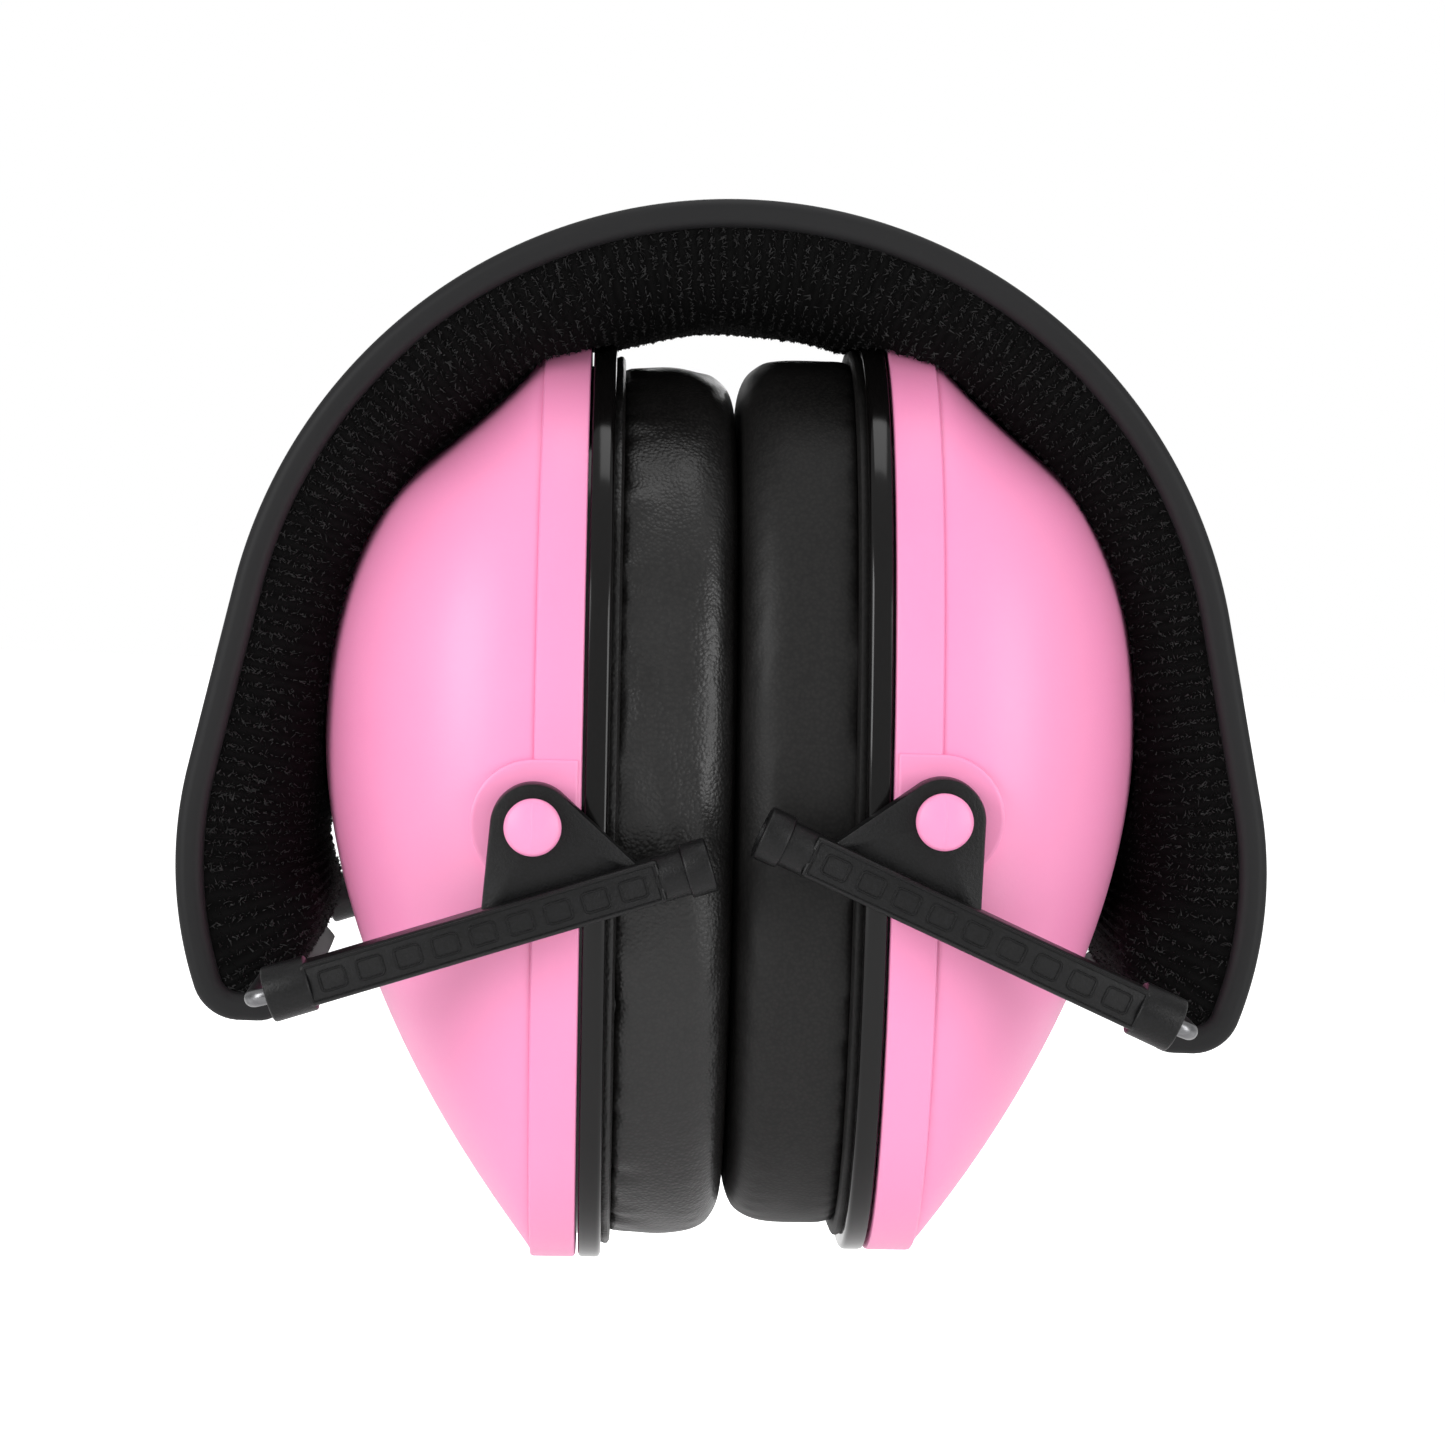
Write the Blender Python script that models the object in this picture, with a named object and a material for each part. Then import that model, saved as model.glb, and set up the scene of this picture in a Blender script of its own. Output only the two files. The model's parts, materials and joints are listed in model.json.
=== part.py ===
"""Folding earmuff hearing protector, folded shut, in metres.

+Z points up to the crown of the headband, X runs across it and -Y is the front. The origin
is the middle of the pad's underside, where the headband rests on its hook or on a head.
"""
import math

import bmesh
import bpy
from mathutils import Vector

# Headband, seen from the front: an arch, a straight side, a slow tuck and a hooked end.
ARCH_RADIUS = 0.0547
ARCH_SWEEP = math.radians(77.6)
SIDE_LENGTH = 0.020
TUCK_RADIUS = 0.044
TUCK_SWEEP = math.radians(31.4)
CORNER_RADIUS = 0.0055
END_FLAT = 0.0020
HOOK_RADIUS = 0.0040
HOOK_SWEEP = math.radians(45)
HOOK_LIP = 0.0030
BAND_WIDTH = 0.050
COVER_THICKNESS = 0.0030
COVER_CHAMFER = 0.0008
SPRING_THICKNESS = 0.0008
SPRING_WIDTH = 0.030

# Plush pad over its foam. It is thin where the cups press on it and full where it is free.
PAD_THIN = 0.0042
PAD_FULL = 0.0092
PAD_SKIN = 0.0012
PAD_WIDTH = 0.0475
PAD_CHAMFER = 0.0015
CROWN_BULGE_ANGLE = math.radians(6)
CROWN_THIN_ANGLE = math.radians(13)
PAD_END_SWEEP = math.radians(14)

# Cup, an oval seen from the side; distances out of the cup start at the cushions' meeting plane.
CUP_HEIGHT = 0.1025
CUP_WIDTH = 0.078
OVAL_POWER = 2.3
CUP_WALL = 0.0022
RIM_DEPTH = 0.0049
RIM_STEP = 0.0004
DOME_PEAK = 0.17
DOME_TAIL = 1.14
DOME_TAIL_POWER = 1.9
DOME_BROW = 0.83
DOME_BROW_POWER = 2.6
SCOOP_START = 0.295
SCOOP_DEPTH = 0.6625
SCOOP_POWER = 1.35
DOME_SIDE_POWER = 2.6
PLATE_THICKNESS = 0.0025
PLATE_LIP = 0.0018
PLATE_LIP_DEPTH = 0.0030
ACOUSTIC_FOAM_START = 0.024
ACOUSTIC_FOAM_FOOT = 0.96
ACOUSTIC_FOAM_CLEARANCE = 0.0010
ACOUSTIC_FOAM_FIRST_RING = 2

# Ear cushion: a leatherette skin round a foam ring, closed by a thin plastic base ring.
CUSHION_THICKNESS = 0.0128
CUSHION_END_INSET = 0.00235
CUSHION_SIDE_INSET = 0.00225
CUSHION_RING = 0.0185
CUSHION_ROUNDING = 0.0040
CUSHION_SKIN = 0.0010
CUSHION_BASE = 0.0010

# Pivots, yoke bars and the steel wires that they slide on.
PIVOT_ABOVE_CENTRE = 0.00085
BOSS_RADIUS = 0.0066
BOSS_DEPTH = 0.0045
PIN_RADIUS = 0.0015
PIN_HEAD_RADIUS = 0.00295
PIN_HEAD_DEPTH = 0.0021
PIN_HEAD_SHAPE = ((0.0, 1.0), (0.55, 1.0), (0.9, 0.8), (1.0, 0.45))  # shares of depth and radius
EYE_RADIUS = 0.0044
EAR_THICKNESS = 0.0029
EAR_HEIGHT = 0.0089
EAR_BASE_OUTER = 0.0083
EAR_BASE_INNER = 0.0101
BAR_HEIGHT = 0.0045
BAR_DEPTH = 0.0048
BAR_CHAMFER = 0.0005
BAR_TIP_INSET = 0.0046
SLEEVE_LENGTH = 0.0041
SLEEVE_RADIUS = 0.0029
NECK_LENGTH = 0.0025
NECK_RADIUS = 0.00245
COLLAR_LENGTH = 0.0028
COLLAR_RADIUS = 0.00285
WIRE_RADIUS = 0.0009
WIRE_BEND = 0.0014
SWAGE_RADIUS = 0.0012
SWAGE_LENGTH = 0.0025
WIRE_ABOVE_END = 0.0013
BLOCK_WIDTH = 0.044
BLOCK_START = math.radians(8)

# How the cups lie when folded: a little to the right, leaning, the right one higher.
MEETING_OFFSET = 0.0008
CUP_LEAN = math.radians(1.07)
RIGHT_CUP_LIFT = 0.0013

GAP = 0.0003
MEETING_GAP = 0.0004
PRESS_CLEARANCE = 0.00107
SIDE_CLEARANCE = 0.0011
ARC_STEP = math.radians(8)
SHARP_ANGLE = math.radians(35)
ANGLE_TOLERANCE = 1e-6
OVAL_SIDES = 32
ROUND_SIDES = 12
DOME_RINGS = 7
BEND_STEPS = 4
PROFILE_STEPS = 40

THIN_DEPTH = COVER_THICKNESS + GAP + PAD_THIN
ARCH_Z = COVER_THICKNESS + GAP + PAD_FULL - ARCH_RADIUS
PAD_END_ANGLE = ARCH_SWEEP + PAD_END_SWEEP
PLATE_BASE = MEETING_GAP / 2 + CUSHION_THICKNESS + GAP
RIM_BASE = PLATE_BASE + PLATE_THICKNESS + GAP
RIM_TOP = RIM_BASE + RIM_DEPTH
PIVOT_OUT = RIM_TOP
CUP_REACH = (ARCH_RADIUS - THIN_DEPTH) * math.sin(ARCH_SWEEP) - SIDE_CLEARANCE
CUSHION_HEIGHT = CUP_HEIGHT - 2 * CUSHION_END_INSET
CUSHION_WIDTH = CUP_WIDTH - 2 * CUSHION_SIDE_INSET
BOSS_FACE = CUP_WIDTH / 2
EAR_FACE = BOSS_FACE + GAP
BAR_CENTRE = EAR_FACE + GAP + BAR_DEPTH / 2
SLEEVE_START = WIRE_BEND + GAP
BLOCK_TOP = WIRE_ABOVE_END + WIRE_RADIUS - GAP
SIDES = {"left": -1, "right": 1}
FACES = {"front": -1, "rear": 1}


def clear_scene():
    for thing in list(bpy.data.objects):
        bpy.data.objects.remove(thing)


def material(name, colour, roughness, metallic=0.0):
    """One Principled material; asking again for the same name gives the same material."""
    if name in bpy.data.materials:
        return bpy.data.materials[name]
    made = bpy.data.materials.new(name)
    made.use_nodes = True
    shader = made.node_tree.nodes["Principled BSDF"]
    shader.inputs["Base Color"].default_value = (*colour, 1)
    shader.inputs["Roughness"].default_value = roughness
    shader.inputs["Metallic"].default_value = metallic
    return made


def empty(name, place, turn=0.0):
    """An axis marker; turn is about +Y."""
    marker = bpy.data.objects.new(name, None)
    marker.empty_display_size = 0.01
    marker.location = place
    marker.rotation_euler = (0, turn, 0)
    bpy.context.scene.collection.objects.link(marker)
    return marker


def loft(name, rings, look=None, parent=None, closed=False):
    """Skin rings of points into one solid: capped at both ends, or closed round on itself."""
    shape = bmesh.new()
    loops = [[shape.verts.new(point) for point in ring] for ring in rings]
    pairs = list(zip(loops, loops[1:] + loops[:1])) if closed else list(zip(loops, loops[1:]))
    for near, far in pairs:
        for i in range(len(near)):
            shape.faces.new((near[i - 1], near[i], far[i], far[i - 1]))
    if not closed:
        shape.faces.new(loops[0][::-1])
        shape.faces.new(loops[-1])
    if shape.calc_volume(signed=True) < 0:
        bmesh.ops.reverse_faces(shape, faces=shape.faces)
    mesh = bpy.data.meshes.new(name)
    shape.to_mesh(mesh)
    shape.free()
    mesh.shade_smooth()
    mesh.set_sharp_from_angle(angle=SHARP_ANGLE)
    if look:
        mesh.materials.append(look)
    made = bpy.data.objects.new(name, mesh)
    made.parent = parent
    bpy.context.scene.collection.objects.link(made)
    return made


def combine(target, other, operation):
    """Join or cut target with a helper solid that isn't a part of its own."""
    other.display_type = "WIRE"
    other.hide_render = True
    step = target.modifiers.new(other.name, "BOOLEAN")
    step.operation = operation
    step.solver = "EXACT"
    step.object = other


def turned(name, profile, place, look=None, parent=None, sides=ROUND_SIDES):
    """Round solid from (position, radius) pairs; place maps position, across, up to a point."""
    rings = []
    for position, radius in profile:
        angles = [2 * math.pi * i / sides for i in range(sides)]
        rings.append([place(position, radius * math.cos(a), radius * math.sin(a)) for a in angles])
    return loft(name, rings, look, parent)


# ---------------------------------------------------------------- headband

def arc_stations(centre, radius, start, end):
    """Points and outward normals on an arc; angles are measured from straight up."""
    count = max(1, math.ceil((end - start) / ARC_STEP))
    stations = []
    for i in range(count + 1):
        angle = start + (end - start) * i / count
        normal = Vector((math.sin(angle), math.cos(angle)))
        stations.append((centre + radius * normal, normal, angle))
    return stations


def half_band():
    """Right half of the headband's outer face, from the crown to the lip of the hooked end."""
    stations = arc_stations(Vector((0, ARCH_Z)), ARCH_RADIUS, 0, ARCH_SWEEP)
    tuck_end = ARCH_SWEEP + TUCK_SWEEP
    bends = (
        (SIDE_LENGTH, TUCK_RADIUS, tuck_end),
        (0, CORNER_RADIUS, math.pi),
        (END_FLAT, HOOK_RADIUS, math.pi + HOOK_SWEEP),
    )
    for straight, radius, end in bends:
        point, normal, angle = stations[-1]
        start = point + straight * Vector((normal.y, -normal.x))
        added = arc_stations(start - radius * normal, radius, angle, end)
        stations += added if straight else added[1:]
    point, normal, angle = stations[-1]
    stations.append((point + HOOK_LIP * Vector((normal.y, -normal.x)), normal, angle))
    return stations


def whole_band(last_angle):
    """The headband's stations from left to right, up to last_angle on each side."""
    right = [s for s in half_band() if s[2] <= last_angle + ANGLE_TOLERANCE]
    left = [(Vector((-p.x, p.y)), Vector((-n.x, n.y)), a) for p, n, a in reversed(right[1:])]
    return left + right


def at_depth(station, depth, across):
    """A point under the outer face of the headband."""
    point, normal, _ = station
    spot = point - depth * normal
    return (spot.x, across, spot.y)


def band_solid(name, section, last_angle, look):
    """Carry a section, a function that gives (depth, across) pairs at an angle, along the band."""
    rings = []
    for station in whole_band(last_angle):
        rings.append([at_depth(station, depth, across) for depth, across in section(station[2])])
    return loft(name, rings, look)


def pad_depth(angle):
    """Depth of the pad's underside: full at the crown, thin over the cups, full at the ends."""
    thin = THIN_DEPTH
    full = COVER_THICKNESS + GAP + PAD_FULL
    crown = (CROWN_THIN_ANGLE - angle) / (CROWN_THIN_ANGLE - CROWN_BULGE_ANGLE)
    end = (angle - ARCH_SWEEP) / PAD_END_SWEEP
    share = min(1, max(0, crown, end))
    return thin + (full - thin) * share


def cover_section(_angle):
    half = BAND_WIDTH / 2
    edge = half - COVER_CHAMFER
    deep = COVER_THICKNESS - COVER_CHAMFER
    front = [(COVER_CHAMFER, -half), (0, -edge), (0, edge), (COVER_CHAMFER, half)]
    return front + [(deep, half), (COVER_THICKNESS, edge), (COVER_THICKNESS, -edge), (deep, -half)]


def spring_section(_angle):
    half = SPRING_WIDTH / 2
    top = COVER_THICKNESS + GAP
    return [(top, -half), (top, half), (top + SPRING_THICKNESS, half), (top + SPRING_THICKNESS, -half)]


def foam_section(angle):
    half = PAD_WIDTH / 2 - PAD_SKIN - GAP
    top = COVER_THICKNESS + SPRING_THICKNESS + 2 * GAP
    low = pad_depth(angle) - PAD_SKIN - GAP
    return [(top, -half), (top, half), (low, half - PAD_CHAMFER / 2), (low, PAD_CHAMFER / 2 - half)]


def pad_section(angle):
    """A channel of plush that wraps the foam, open towards the cover."""
    half = PAD_WIDTH / 2
    inside = half - PAD_SKIN
    top = COVER_THICKNESS + GAP
    low = pad_depth(angle)
    outer = [(top, half), (low - PAD_CHAMFER, half), (low, half - PAD_CHAMFER)]
    inner = [(low - PAD_SKIN, inside - PAD_CHAMFER / 2), (low - PAD_SKIN - PAD_CHAMFER / 2, inside)]
    inner += [(top, inside)]
    return (
        outer
        + [(depth, -across) for depth, across in reversed(outer)]
        + [(depth, -across) for depth, across in reversed(inner)]
        + inner
    )[::-1]


def hinge_point(side):
    """The wire's axis inside the hooked end, as (x, z): clear of the flat end and of the lip."""
    lip, out, _ = half_band()[-1]
    lowest = min(station[0].y for station in half_band())
    height = lowest + COVER_THICKNESS + WIRE_ABOVE_END + WIRE_RADIUS
    from_lip = COVER_THICKNESS + GAP + WIRE_RADIUS
    return Vector((side * (lip.x - (from_lip - (lip.y - height) * out.y) / out.x), height))


def end_block(side_name):
    """Plastic block that fills the hooked end and carries the wire's cross-bar."""
    side = SIDES[side_name]
    depth = COVER_THICKNESS + GAP
    inside = [s for s in half_band() if s[2] > PAD_END_ANGLE + BLOCK_START]
    outline = [at_depth((Vector((side * p.x, p.y)), Vector((side * n.x, n.y)), a), depth, 0)
               for p, n, a in inside]
    hinge = hinge_point(side)
    outline.append((hinge.x - side * BLOCK_TOP, 0, hinge.y + BLOCK_TOP))
    rings = [[(x, across, z) for x, _, z in outline] for across in (-BLOCK_WIDTH / 2, BLOCK_WIDTH / 2)]
    look = material("black_nylon", (0.012, 0.012, 0.013), 0.5)
    block = loft(f"{side_name}_end_block", rings, look)
    channel = [(along, WIRE_RADIUS + GAP) for along in (-BLOCK_WIDTH, BLOCK_WIDTH)]
    bore = turned(f"{side_name}_end_bore", channel,
                  lambda along, across, up: (hinge.x + across, along, hinge.y + up))
    combine(block, bore, "DIFFERENCE")


def headband():
    whole = math.pi + HOOK_SWEEP
    vinyl = material("charcoal_vinyl", (0.022, 0.022, 0.023), 0.62)
    steel = material("spring_steel", (0.42, 0.42, 0.43), 0.35, 1.0)
    foam = material("grey_foam", (0.09, 0.09, 0.1), 0.95)
    plush = material("black_plush", (0.008, 0.008, 0.009), 0.95)
    band_solid("headband_cover", cover_section, whole, vinyl)
    band_solid("headband_spring", spring_section, PAD_END_ANGLE, steel)
    band_solid("headband_foam", foam_section, PAD_END_ANGLE, foam)
    band_solid("headband_pad", pad_section, PAD_END_ANGLE, plush)
    for side_name in SIDES:
        end_block(side_name)


# ---------------------------------------------------------------- cups

def oval(half_width, half_height):
    """Unit directions of an oval fuller than an ellipse, scaled: a list of (y, z)."""
    points = []
    for i in range(OVAL_SIDES):
        angle = 2 * math.pi * i / OVAL_SIDES
        y, z = math.cos(angle), math.sin(angle)
        reach = (abs(y) ** OVAL_POWER + abs(z) ** OVAL_POWER) ** (-1 / OVAL_POWER)
        points.append((half_width * reach * y, half_height * reach * z))
    return points


def dome_profile(height):
    """Share of the dome's depth at a height from -1 at its bottom to 1 at its top."""
    if height < DOME_PEAK:
        return max(0, 1 - ((DOME_PEAK - height) / DOME_TAIL) ** DOME_TAIL_POWER)
    brow = 1 - ((height - DOME_PEAK) / DOME_BROW) ** DOME_BROW_POWER
    scoop = SCOOP_DEPTH * (max(0, 1 - height) / SCOOP_START) ** SCOOP_POWER
    return max(0, min(brow, scoop))


def dome_rings(inset, reach):
    """Rings of the dome from its foot to near its middle, as lists of (out, y, z)."""
    half_width = CUP_WIDTH / 2 - inset
    half_height = CUP_HEIGHT / 2 - inset
    edge = oval(half_width, half_height)
    rings = []
    for i in range(1, DOME_RINGS + 1):
        spread = math.cos(math.pi / 2 * i / (DOME_RINGS + 1))
        ring = []
        for y, z in edge:
            y, z = y * spread, z * spread
            height = z / half_height
            side_reach = half_width * (1 - abs(height) ** OVAL_POWER) ** (1 / OVAL_POWER)
            across = min(1, abs(y) / side_reach)
            round_off = (1 - across ** DOME_SIDE_POWER) ** 0.5
            ring.append((RIM_TOP + (reach - RIM_TOP) * dome_profile(height) * round_off, y, z))
        rings.append(ring)
    return rings


def level_ring(out, inset, half_width=CUP_WIDTH / 2, half_height=CUP_HEIGHT / 2):
    return [(out, y, z) for y, z in oval(half_width - inset, half_height - inset)]


def in_cup(side, rings):
    """Cup measures (out, y, z from the cup's centre) as points from the pivot."""
    return [[(side * (out - PIVOT_OUT), y, z - PIVOT_ABOVE_CENTRE) for out, y, z in ring] for ring in rings]


def cup_shell(side_name, parent, look):
    side = SIDES[side_name]
    inner = dome_rings(CUP_WALL, CUP_REACH - CUP_WALL)[::-1]
    outer = dome_rings(RIM_STEP, CUP_REACH)
    rim = [(RIM_TOP, CUP_WALL), (RIM_BASE, CUP_WALL), (RIM_BASE, 0), (RIM_TOP, 0), (RIM_TOP, RIM_STEP)]
    rings = inner + [level_ring(out, inset) for out, inset in rim] + outer
    shell = loft(f"{side_name}_cup_shell", in_cup(side, rings), look, parent)
    for face_name, face in FACES.items():
        combine(shell, boss(side, face, f"{side_name}_{face_name}_boss", parent), "UNION")
        hole = [(BOSS_FACE + along, PIN_RADIUS + GAP) for along in (-2 * BOSS_DEPTH, BOSS_DEPTH)]
        bore = turned(f"{side_name}_{face_name}_boss_bore", hole,
                      lambda along, across, up, face=face: (across, face * along, up), parent=parent)
        combine(shell, bore, "DIFFERENCE")


def boss(side, face, name, parent):
    """Flat pad flush with the rim, round about the pivot and straight back to the rim."""
    turns = [math.pi * (i / ROUND_SIDES - 0.5) for i in range(ROUND_SIDES + 1)]
    outline = [(BOSS_RADIUS * math.cos(a), BOSS_RADIUS * math.sin(a)) for a in turns]
    back = PLATE_BASE + PLATE_THICKNESS + PLATE_LIP_DEPTH + GAP - PIVOT_OUT
    outline += [(back, BOSS_RADIUS), (back, -BOSS_RADIUS)]
    levels = (BOSS_FACE - BOSS_DEPTH, BOSS_FACE)
    rings = [[(side * x, face * y, z) for x, z in outline] for y in levels]
    return loft(name, rings, parent=parent)


def acoustic_foam(side_name, parent, look):
    """Foam that lines the far end of the dome, behind the ear space."""
    side = SIDES[side_name]
    inset = CUP_WALL + ACOUSTIC_FOAM_CLEARANCE
    rings = dome_rings(inset, CUP_REACH - inset)
    kept = rings[ACOUSTIC_FOAM_FIRST_RING:]
    share = ACOUSTIC_FOAM_FOOT
    foot = [(ACOUSTIC_FOAM_START - GAP, share * y, share * z) for _, y, z in kept[0]]
    lifted = [[(max(out, ACOUSTIC_FOAM_START + GAP), y, z) for out, y, z in ring] for ring in kept]
    loft(f"{side_name}_acoustic_foam", in_cup(side, [foot] + lifted), look, parent)


def oval_ring(side_name, part, section, size, look, parent):
    """Carry a section of (out, inset) pairs round an oval of a full (width, height)."""
    width, height = size
    rings = [level_ring(out, inset, width / 2, height / 2) for out, inset in section]
    loft(f"{side_name}_{part}", in_cup(SIDES[side_name], rings), look, parent, closed=True)


def seal_plate(side_name, parent, look):
    hole = CUP_WIDTH / 2 - CUSHION_WIDTH / 2 + CUSHION_RING - CUSHION_SKIN
    lip = CUP_WALL + GAP
    top = PLATE_BASE + PLATE_THICKNESS
    section = [(PLATE_BASE, hole), (PLATE_BASE, 0), (top, 0), (top, lip), (top + PLATE_LIP_DEPTH, lip)]
    section += [(top + PLATE_LIP_DEPTH, lip + PLATE_LIP), (top, lip + PLATE_LIP), (top, hole)]
    oval_ring(side_name, "seal_plate", section, (CUP_WIDTH, CUP_HEIGHT), look, parent)


def rounded_edge(start, inset, radius, turn):
    """Three points that round the cushion's free edge."""
    lean = radius * (1 - math.sqrt(0.5))
    points = [(start + radius, inset), (start + lean, inset + turn * lean), (start, inset + turn * radius)]
    return points if turn > 0 else points[::-1]


def ear_cushion(side_name, parent, skin_look, foam_look, base_look):
    size = (CUSHION_WIDTH, CUSHION_HEIGHT)
    free = MEETING_GAP / 2
    back = free + CUSHION_THICKNESS
    inner_round = CUSHION_ROUNDING - CUSHION_SKIN
    outside = [(back, 0)] + rounded_edge(free, 0, CUSHION_ROUNDING, 1)
    outside += rounded_edge(free, CUSHION_RING, CUSHION_ROUNDING, -1) + [(back, CUSHION_RING)]
    lining = [(back, CUSHION_SKIN)] + rounded_edge(free + CUSHION_SKIN, CUSHION_SKIN, inner_round, 1)
    lining += rounded_edge(free + CUSHION_SKIN, CUSHION_RING - CUSHION_SKIN, inner_round, -1)
    lining += [(back, CUSHION_RING - CUSHION_SKIN)]
    oval_ring(side_name, "ear_cushion", outside + lining[::-1], size, skin_look, parent)
    edge = CUSHION_SKIN + GAP
    low = free + edge
    high = back - CUSHION_BASE
    core = [(high - GAP, edge)] + rounded_edge(low, edge, inner_round, 1)
    core += rounded_edge(low, CUSHION_RING - edge, inner_round, -1) + [(high - GAP, CUSHION_RING - edge)]
    oval_ring(side_name, "cushion_foam", core, size, foam_look, parent)
    base = [(high, edge), (back, edge), (back, CUSHION_RING - edge), (high, CUSHION_RING - edge)]
    oval_ring(side_name, "cushion_base", base, size, base_look, parent)


def pivot_pin(side_name, face_name, parent, look):
    """Domed pin button that holds the yoke's eye to the cup's boss."""
    face = FACES[face_name]
    head = EAR_FACE + EAR_THICKNESS + GAP
    profile = [
        (BOSS_FACE - BOSS_DEPTH, PIN_RADIUS - GAP),
        (BOSS_FACE - BOSS_DEPTH + GAP, PIN_RADIUS),
        (head, PIN_RADIUS),
    ]
    profile += [(head + PIN_HEAD_DEPTH * deep, PIN_HEAD_RADIUS * wide) for deep, wide in PIN_HEAD_SHAPE]
    turned(f"{side_name}_{face_name}_pin", profile,
           lambda along, across, up: (across, face * along, up), look, parent)


def highest_middle(out, up):
    """How high the folded cups' middle can be before the right cup's profile reaches the pad."""
    profile = [(RIM_TOP, CUP_HEIGHT / 2)]
    for i in range(PROFILE_STEPS):
        height = i / PROFILE_STEPS
        reach = RIM_TOP + (CUP_REACH - RIM_TOP) * dome_profile(height)
        profile.append((reach, height * CUP_HEIGHT / 2))
    limits = []
    for reach, height in profile:
        point = reach * out + (height - PIVOT_ABOVE_CENTRE + RIGHT_CUP_LIFT / 2) * up
        room = (ARCH_RADIUS - THIN_DEPTH) ** 2 - (MEETING_OFFSET + point.x) ** 2
        limits.append(ARCH_Z + math.sqrt(room) - PRESS_CLEARANCE - point.y)
    return min(limits)


def pivot_place(side_name):
    """Where the cup's pivot lies when folded, as (x, z)."""
    side = SIDES[side_name]
    out = Vector((math.cos(CUP_LEAN), math.sin(CUP_LEAN)))
    up = Vector((-out.y, out.x))
    middle = Vector((MEETING_OFFSET, highest_middle(out, up)))
    return middle + side * PIVOT_OUT * out + side * RIGHT_CUP_LIFT / 2 * up


def cup(side_name):
    pivot = pivot_place(side_name)
    axis = empty(f"{side_name}_pivot_axis", (pivot.x, 0, pivot.y), -CUP_LEAN)
    pink = material("pink_abs", (0.96, 0.34, 0.6), 0.38)
    gloss = material("black_gloss_abs", (0.006, 0.006, 0.007), 0.12)
    leatherette = material("black_leatherette", (0.013, 0.013, 0.013), 0.45)
    foam = material("grey_foam", (0.09, 0.09, 0.1), 0.95)
    cup_shell(side_name, axis, pink)
    seal_plate(side_name, axis, gloss)
    acoustic_foam(side_name, axis, foam)
    ear_cushion(side_name, axis, leatherette, foam, gloss)
    for face_name in FACES:
        pivot_pin(side_name, face_name, axis, pink)


# ---------------------------------------------------------------- yokes and wires

def bar_reach(side_name):
    """Distance along the bar from the fold axis to the pivot, and the bar's angle."""
    side = SIDES[side_name]
    hinge = hinge_point(side)
    gap = pivot_place(side_name) - hinge
    along = math.sqrt(gap.length_squared - EAR_HEIGHT ** 2)
    return along, math.atan2(gap.y, -side * gap.x) - math.atan2(EAR_HEIGHT, along)


def ear_outline(pivot_along):
    """Triangle from the bar up to a round eye, as (along, up) points."""
    eye = Vector((pivot_along, EAR_HEIGHT))
    feet = [Vector((pivot_along - EAR_BASE_OUTER, 0)), Vector((pivot_along + EAR_BASE_INNER, 0))]
    angles = []
    for foot, turn in zip(feet, (-1, 1)):
        reach = foot - eye
        angles.append(math.atan2(reach.y, reach.x) + turn * math.acos(EYE_RADIUS / reach.length))
    start, end = angles[1], angles[0] + 2 * math.pi
    arc = [start + (end - start) * i / ROUND_SIDES for i in range(ROUND_SIDES + 1)]
    return feet + [eye + EYE_RADIUS * Vector((math.cos(a), math.sin(a))) for a in arc]


def yoke(side_name, face_name, pivot_along, parent, look):
    """Hollow bar that slides on one wire leg, with the ear that carries the cup."""
    side, face = SIDES[side_name], FACES[face_name]
    name = f"{side_name}_{face_name}_yoke"
    inner = pivot_along + PIVOT_OUT - BAR_TIP_INSET
    box_start = SLEEVE_START + SLEEVE_LENGTH
    box_end = inner - COLLAR_LENGTH - NECK_LENGTH
    overlap = BAR_CHAMFER

    def place(along, across, up):
        return (-side * along, face * (BAR_CENTRE + across), up)

    wide, tall = BAR_DEPTH / 2, BAR_HEIGHT / 2
    quarter = [(wide, tall - BAR_CHAMFER), (wide - BAR_CHAMFER, tall)]
    section = quarter + [(-x, z) for x, z in quarter[::-1]]
    section += [(-x, -z) for x, z in quarter] + [(x, -z) for x, z in quarter[::-1]]
    rings = [[place(along, x, z) for x, z in section] for along in (box_start, box_end)]
    bar = loft(name, rings, look, parent)
    sleeve = [(SLEEVE_START, SLEEVE_RADIUS), (box_start + overlap, SLEEVE_RADIUS)]
    tip = [(box_end - overlap, NECK_RADIUS), (box_end + NECK_LENGTH, NECK_RADIUS),
           (box_end + NECK_LENGTH, COLLAR_RADIUS), (inner, COLLAR_RADIUS)]
    combine(bar, turned(f"{name}_sleeve", sleeve, place, parent=parent), "UNION")
    combine(bar, turned(f"{name}_tip", tip, place, parent=parent), "UNION")
    levels = (EAR_FACE, EAR_FACE + EAR_THICKNESS)
    ear_rings = [[(-side * p.x, face * y, p.y) for p in ear_outline(pivot_along)] for y in levels]
    combine(bar, loft(f"{name}_ear", ear_rings, parent=parent), "UNION")
    guide, wide_bore = WIRE_RADIUS + GAP, SWAGE_RADIUS + GAP
    bore = [(0, guide), (box_start, guide), (box_start, wide_bore), (inner + overlap, wide_bore)]
    combine(bar, turned(f"{name}_bore", bore, place, parent=parent), "DIFFERENCE")
    ends = (EAR_FACE - overlap, EAR_FACE + EAR_THICKNESS + overlap)
    eye = [(along, PIN_RADIUS + GAP) for along in ends]
    hole = turned(f"{name}_eye", eye,
                  lambda along, across, up: (-side * pivot_along + across, face * along, EAR_HEIGHT + up),
                  parent=parent)
    combine(bar, hole, "DIFFERENCE")


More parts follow.
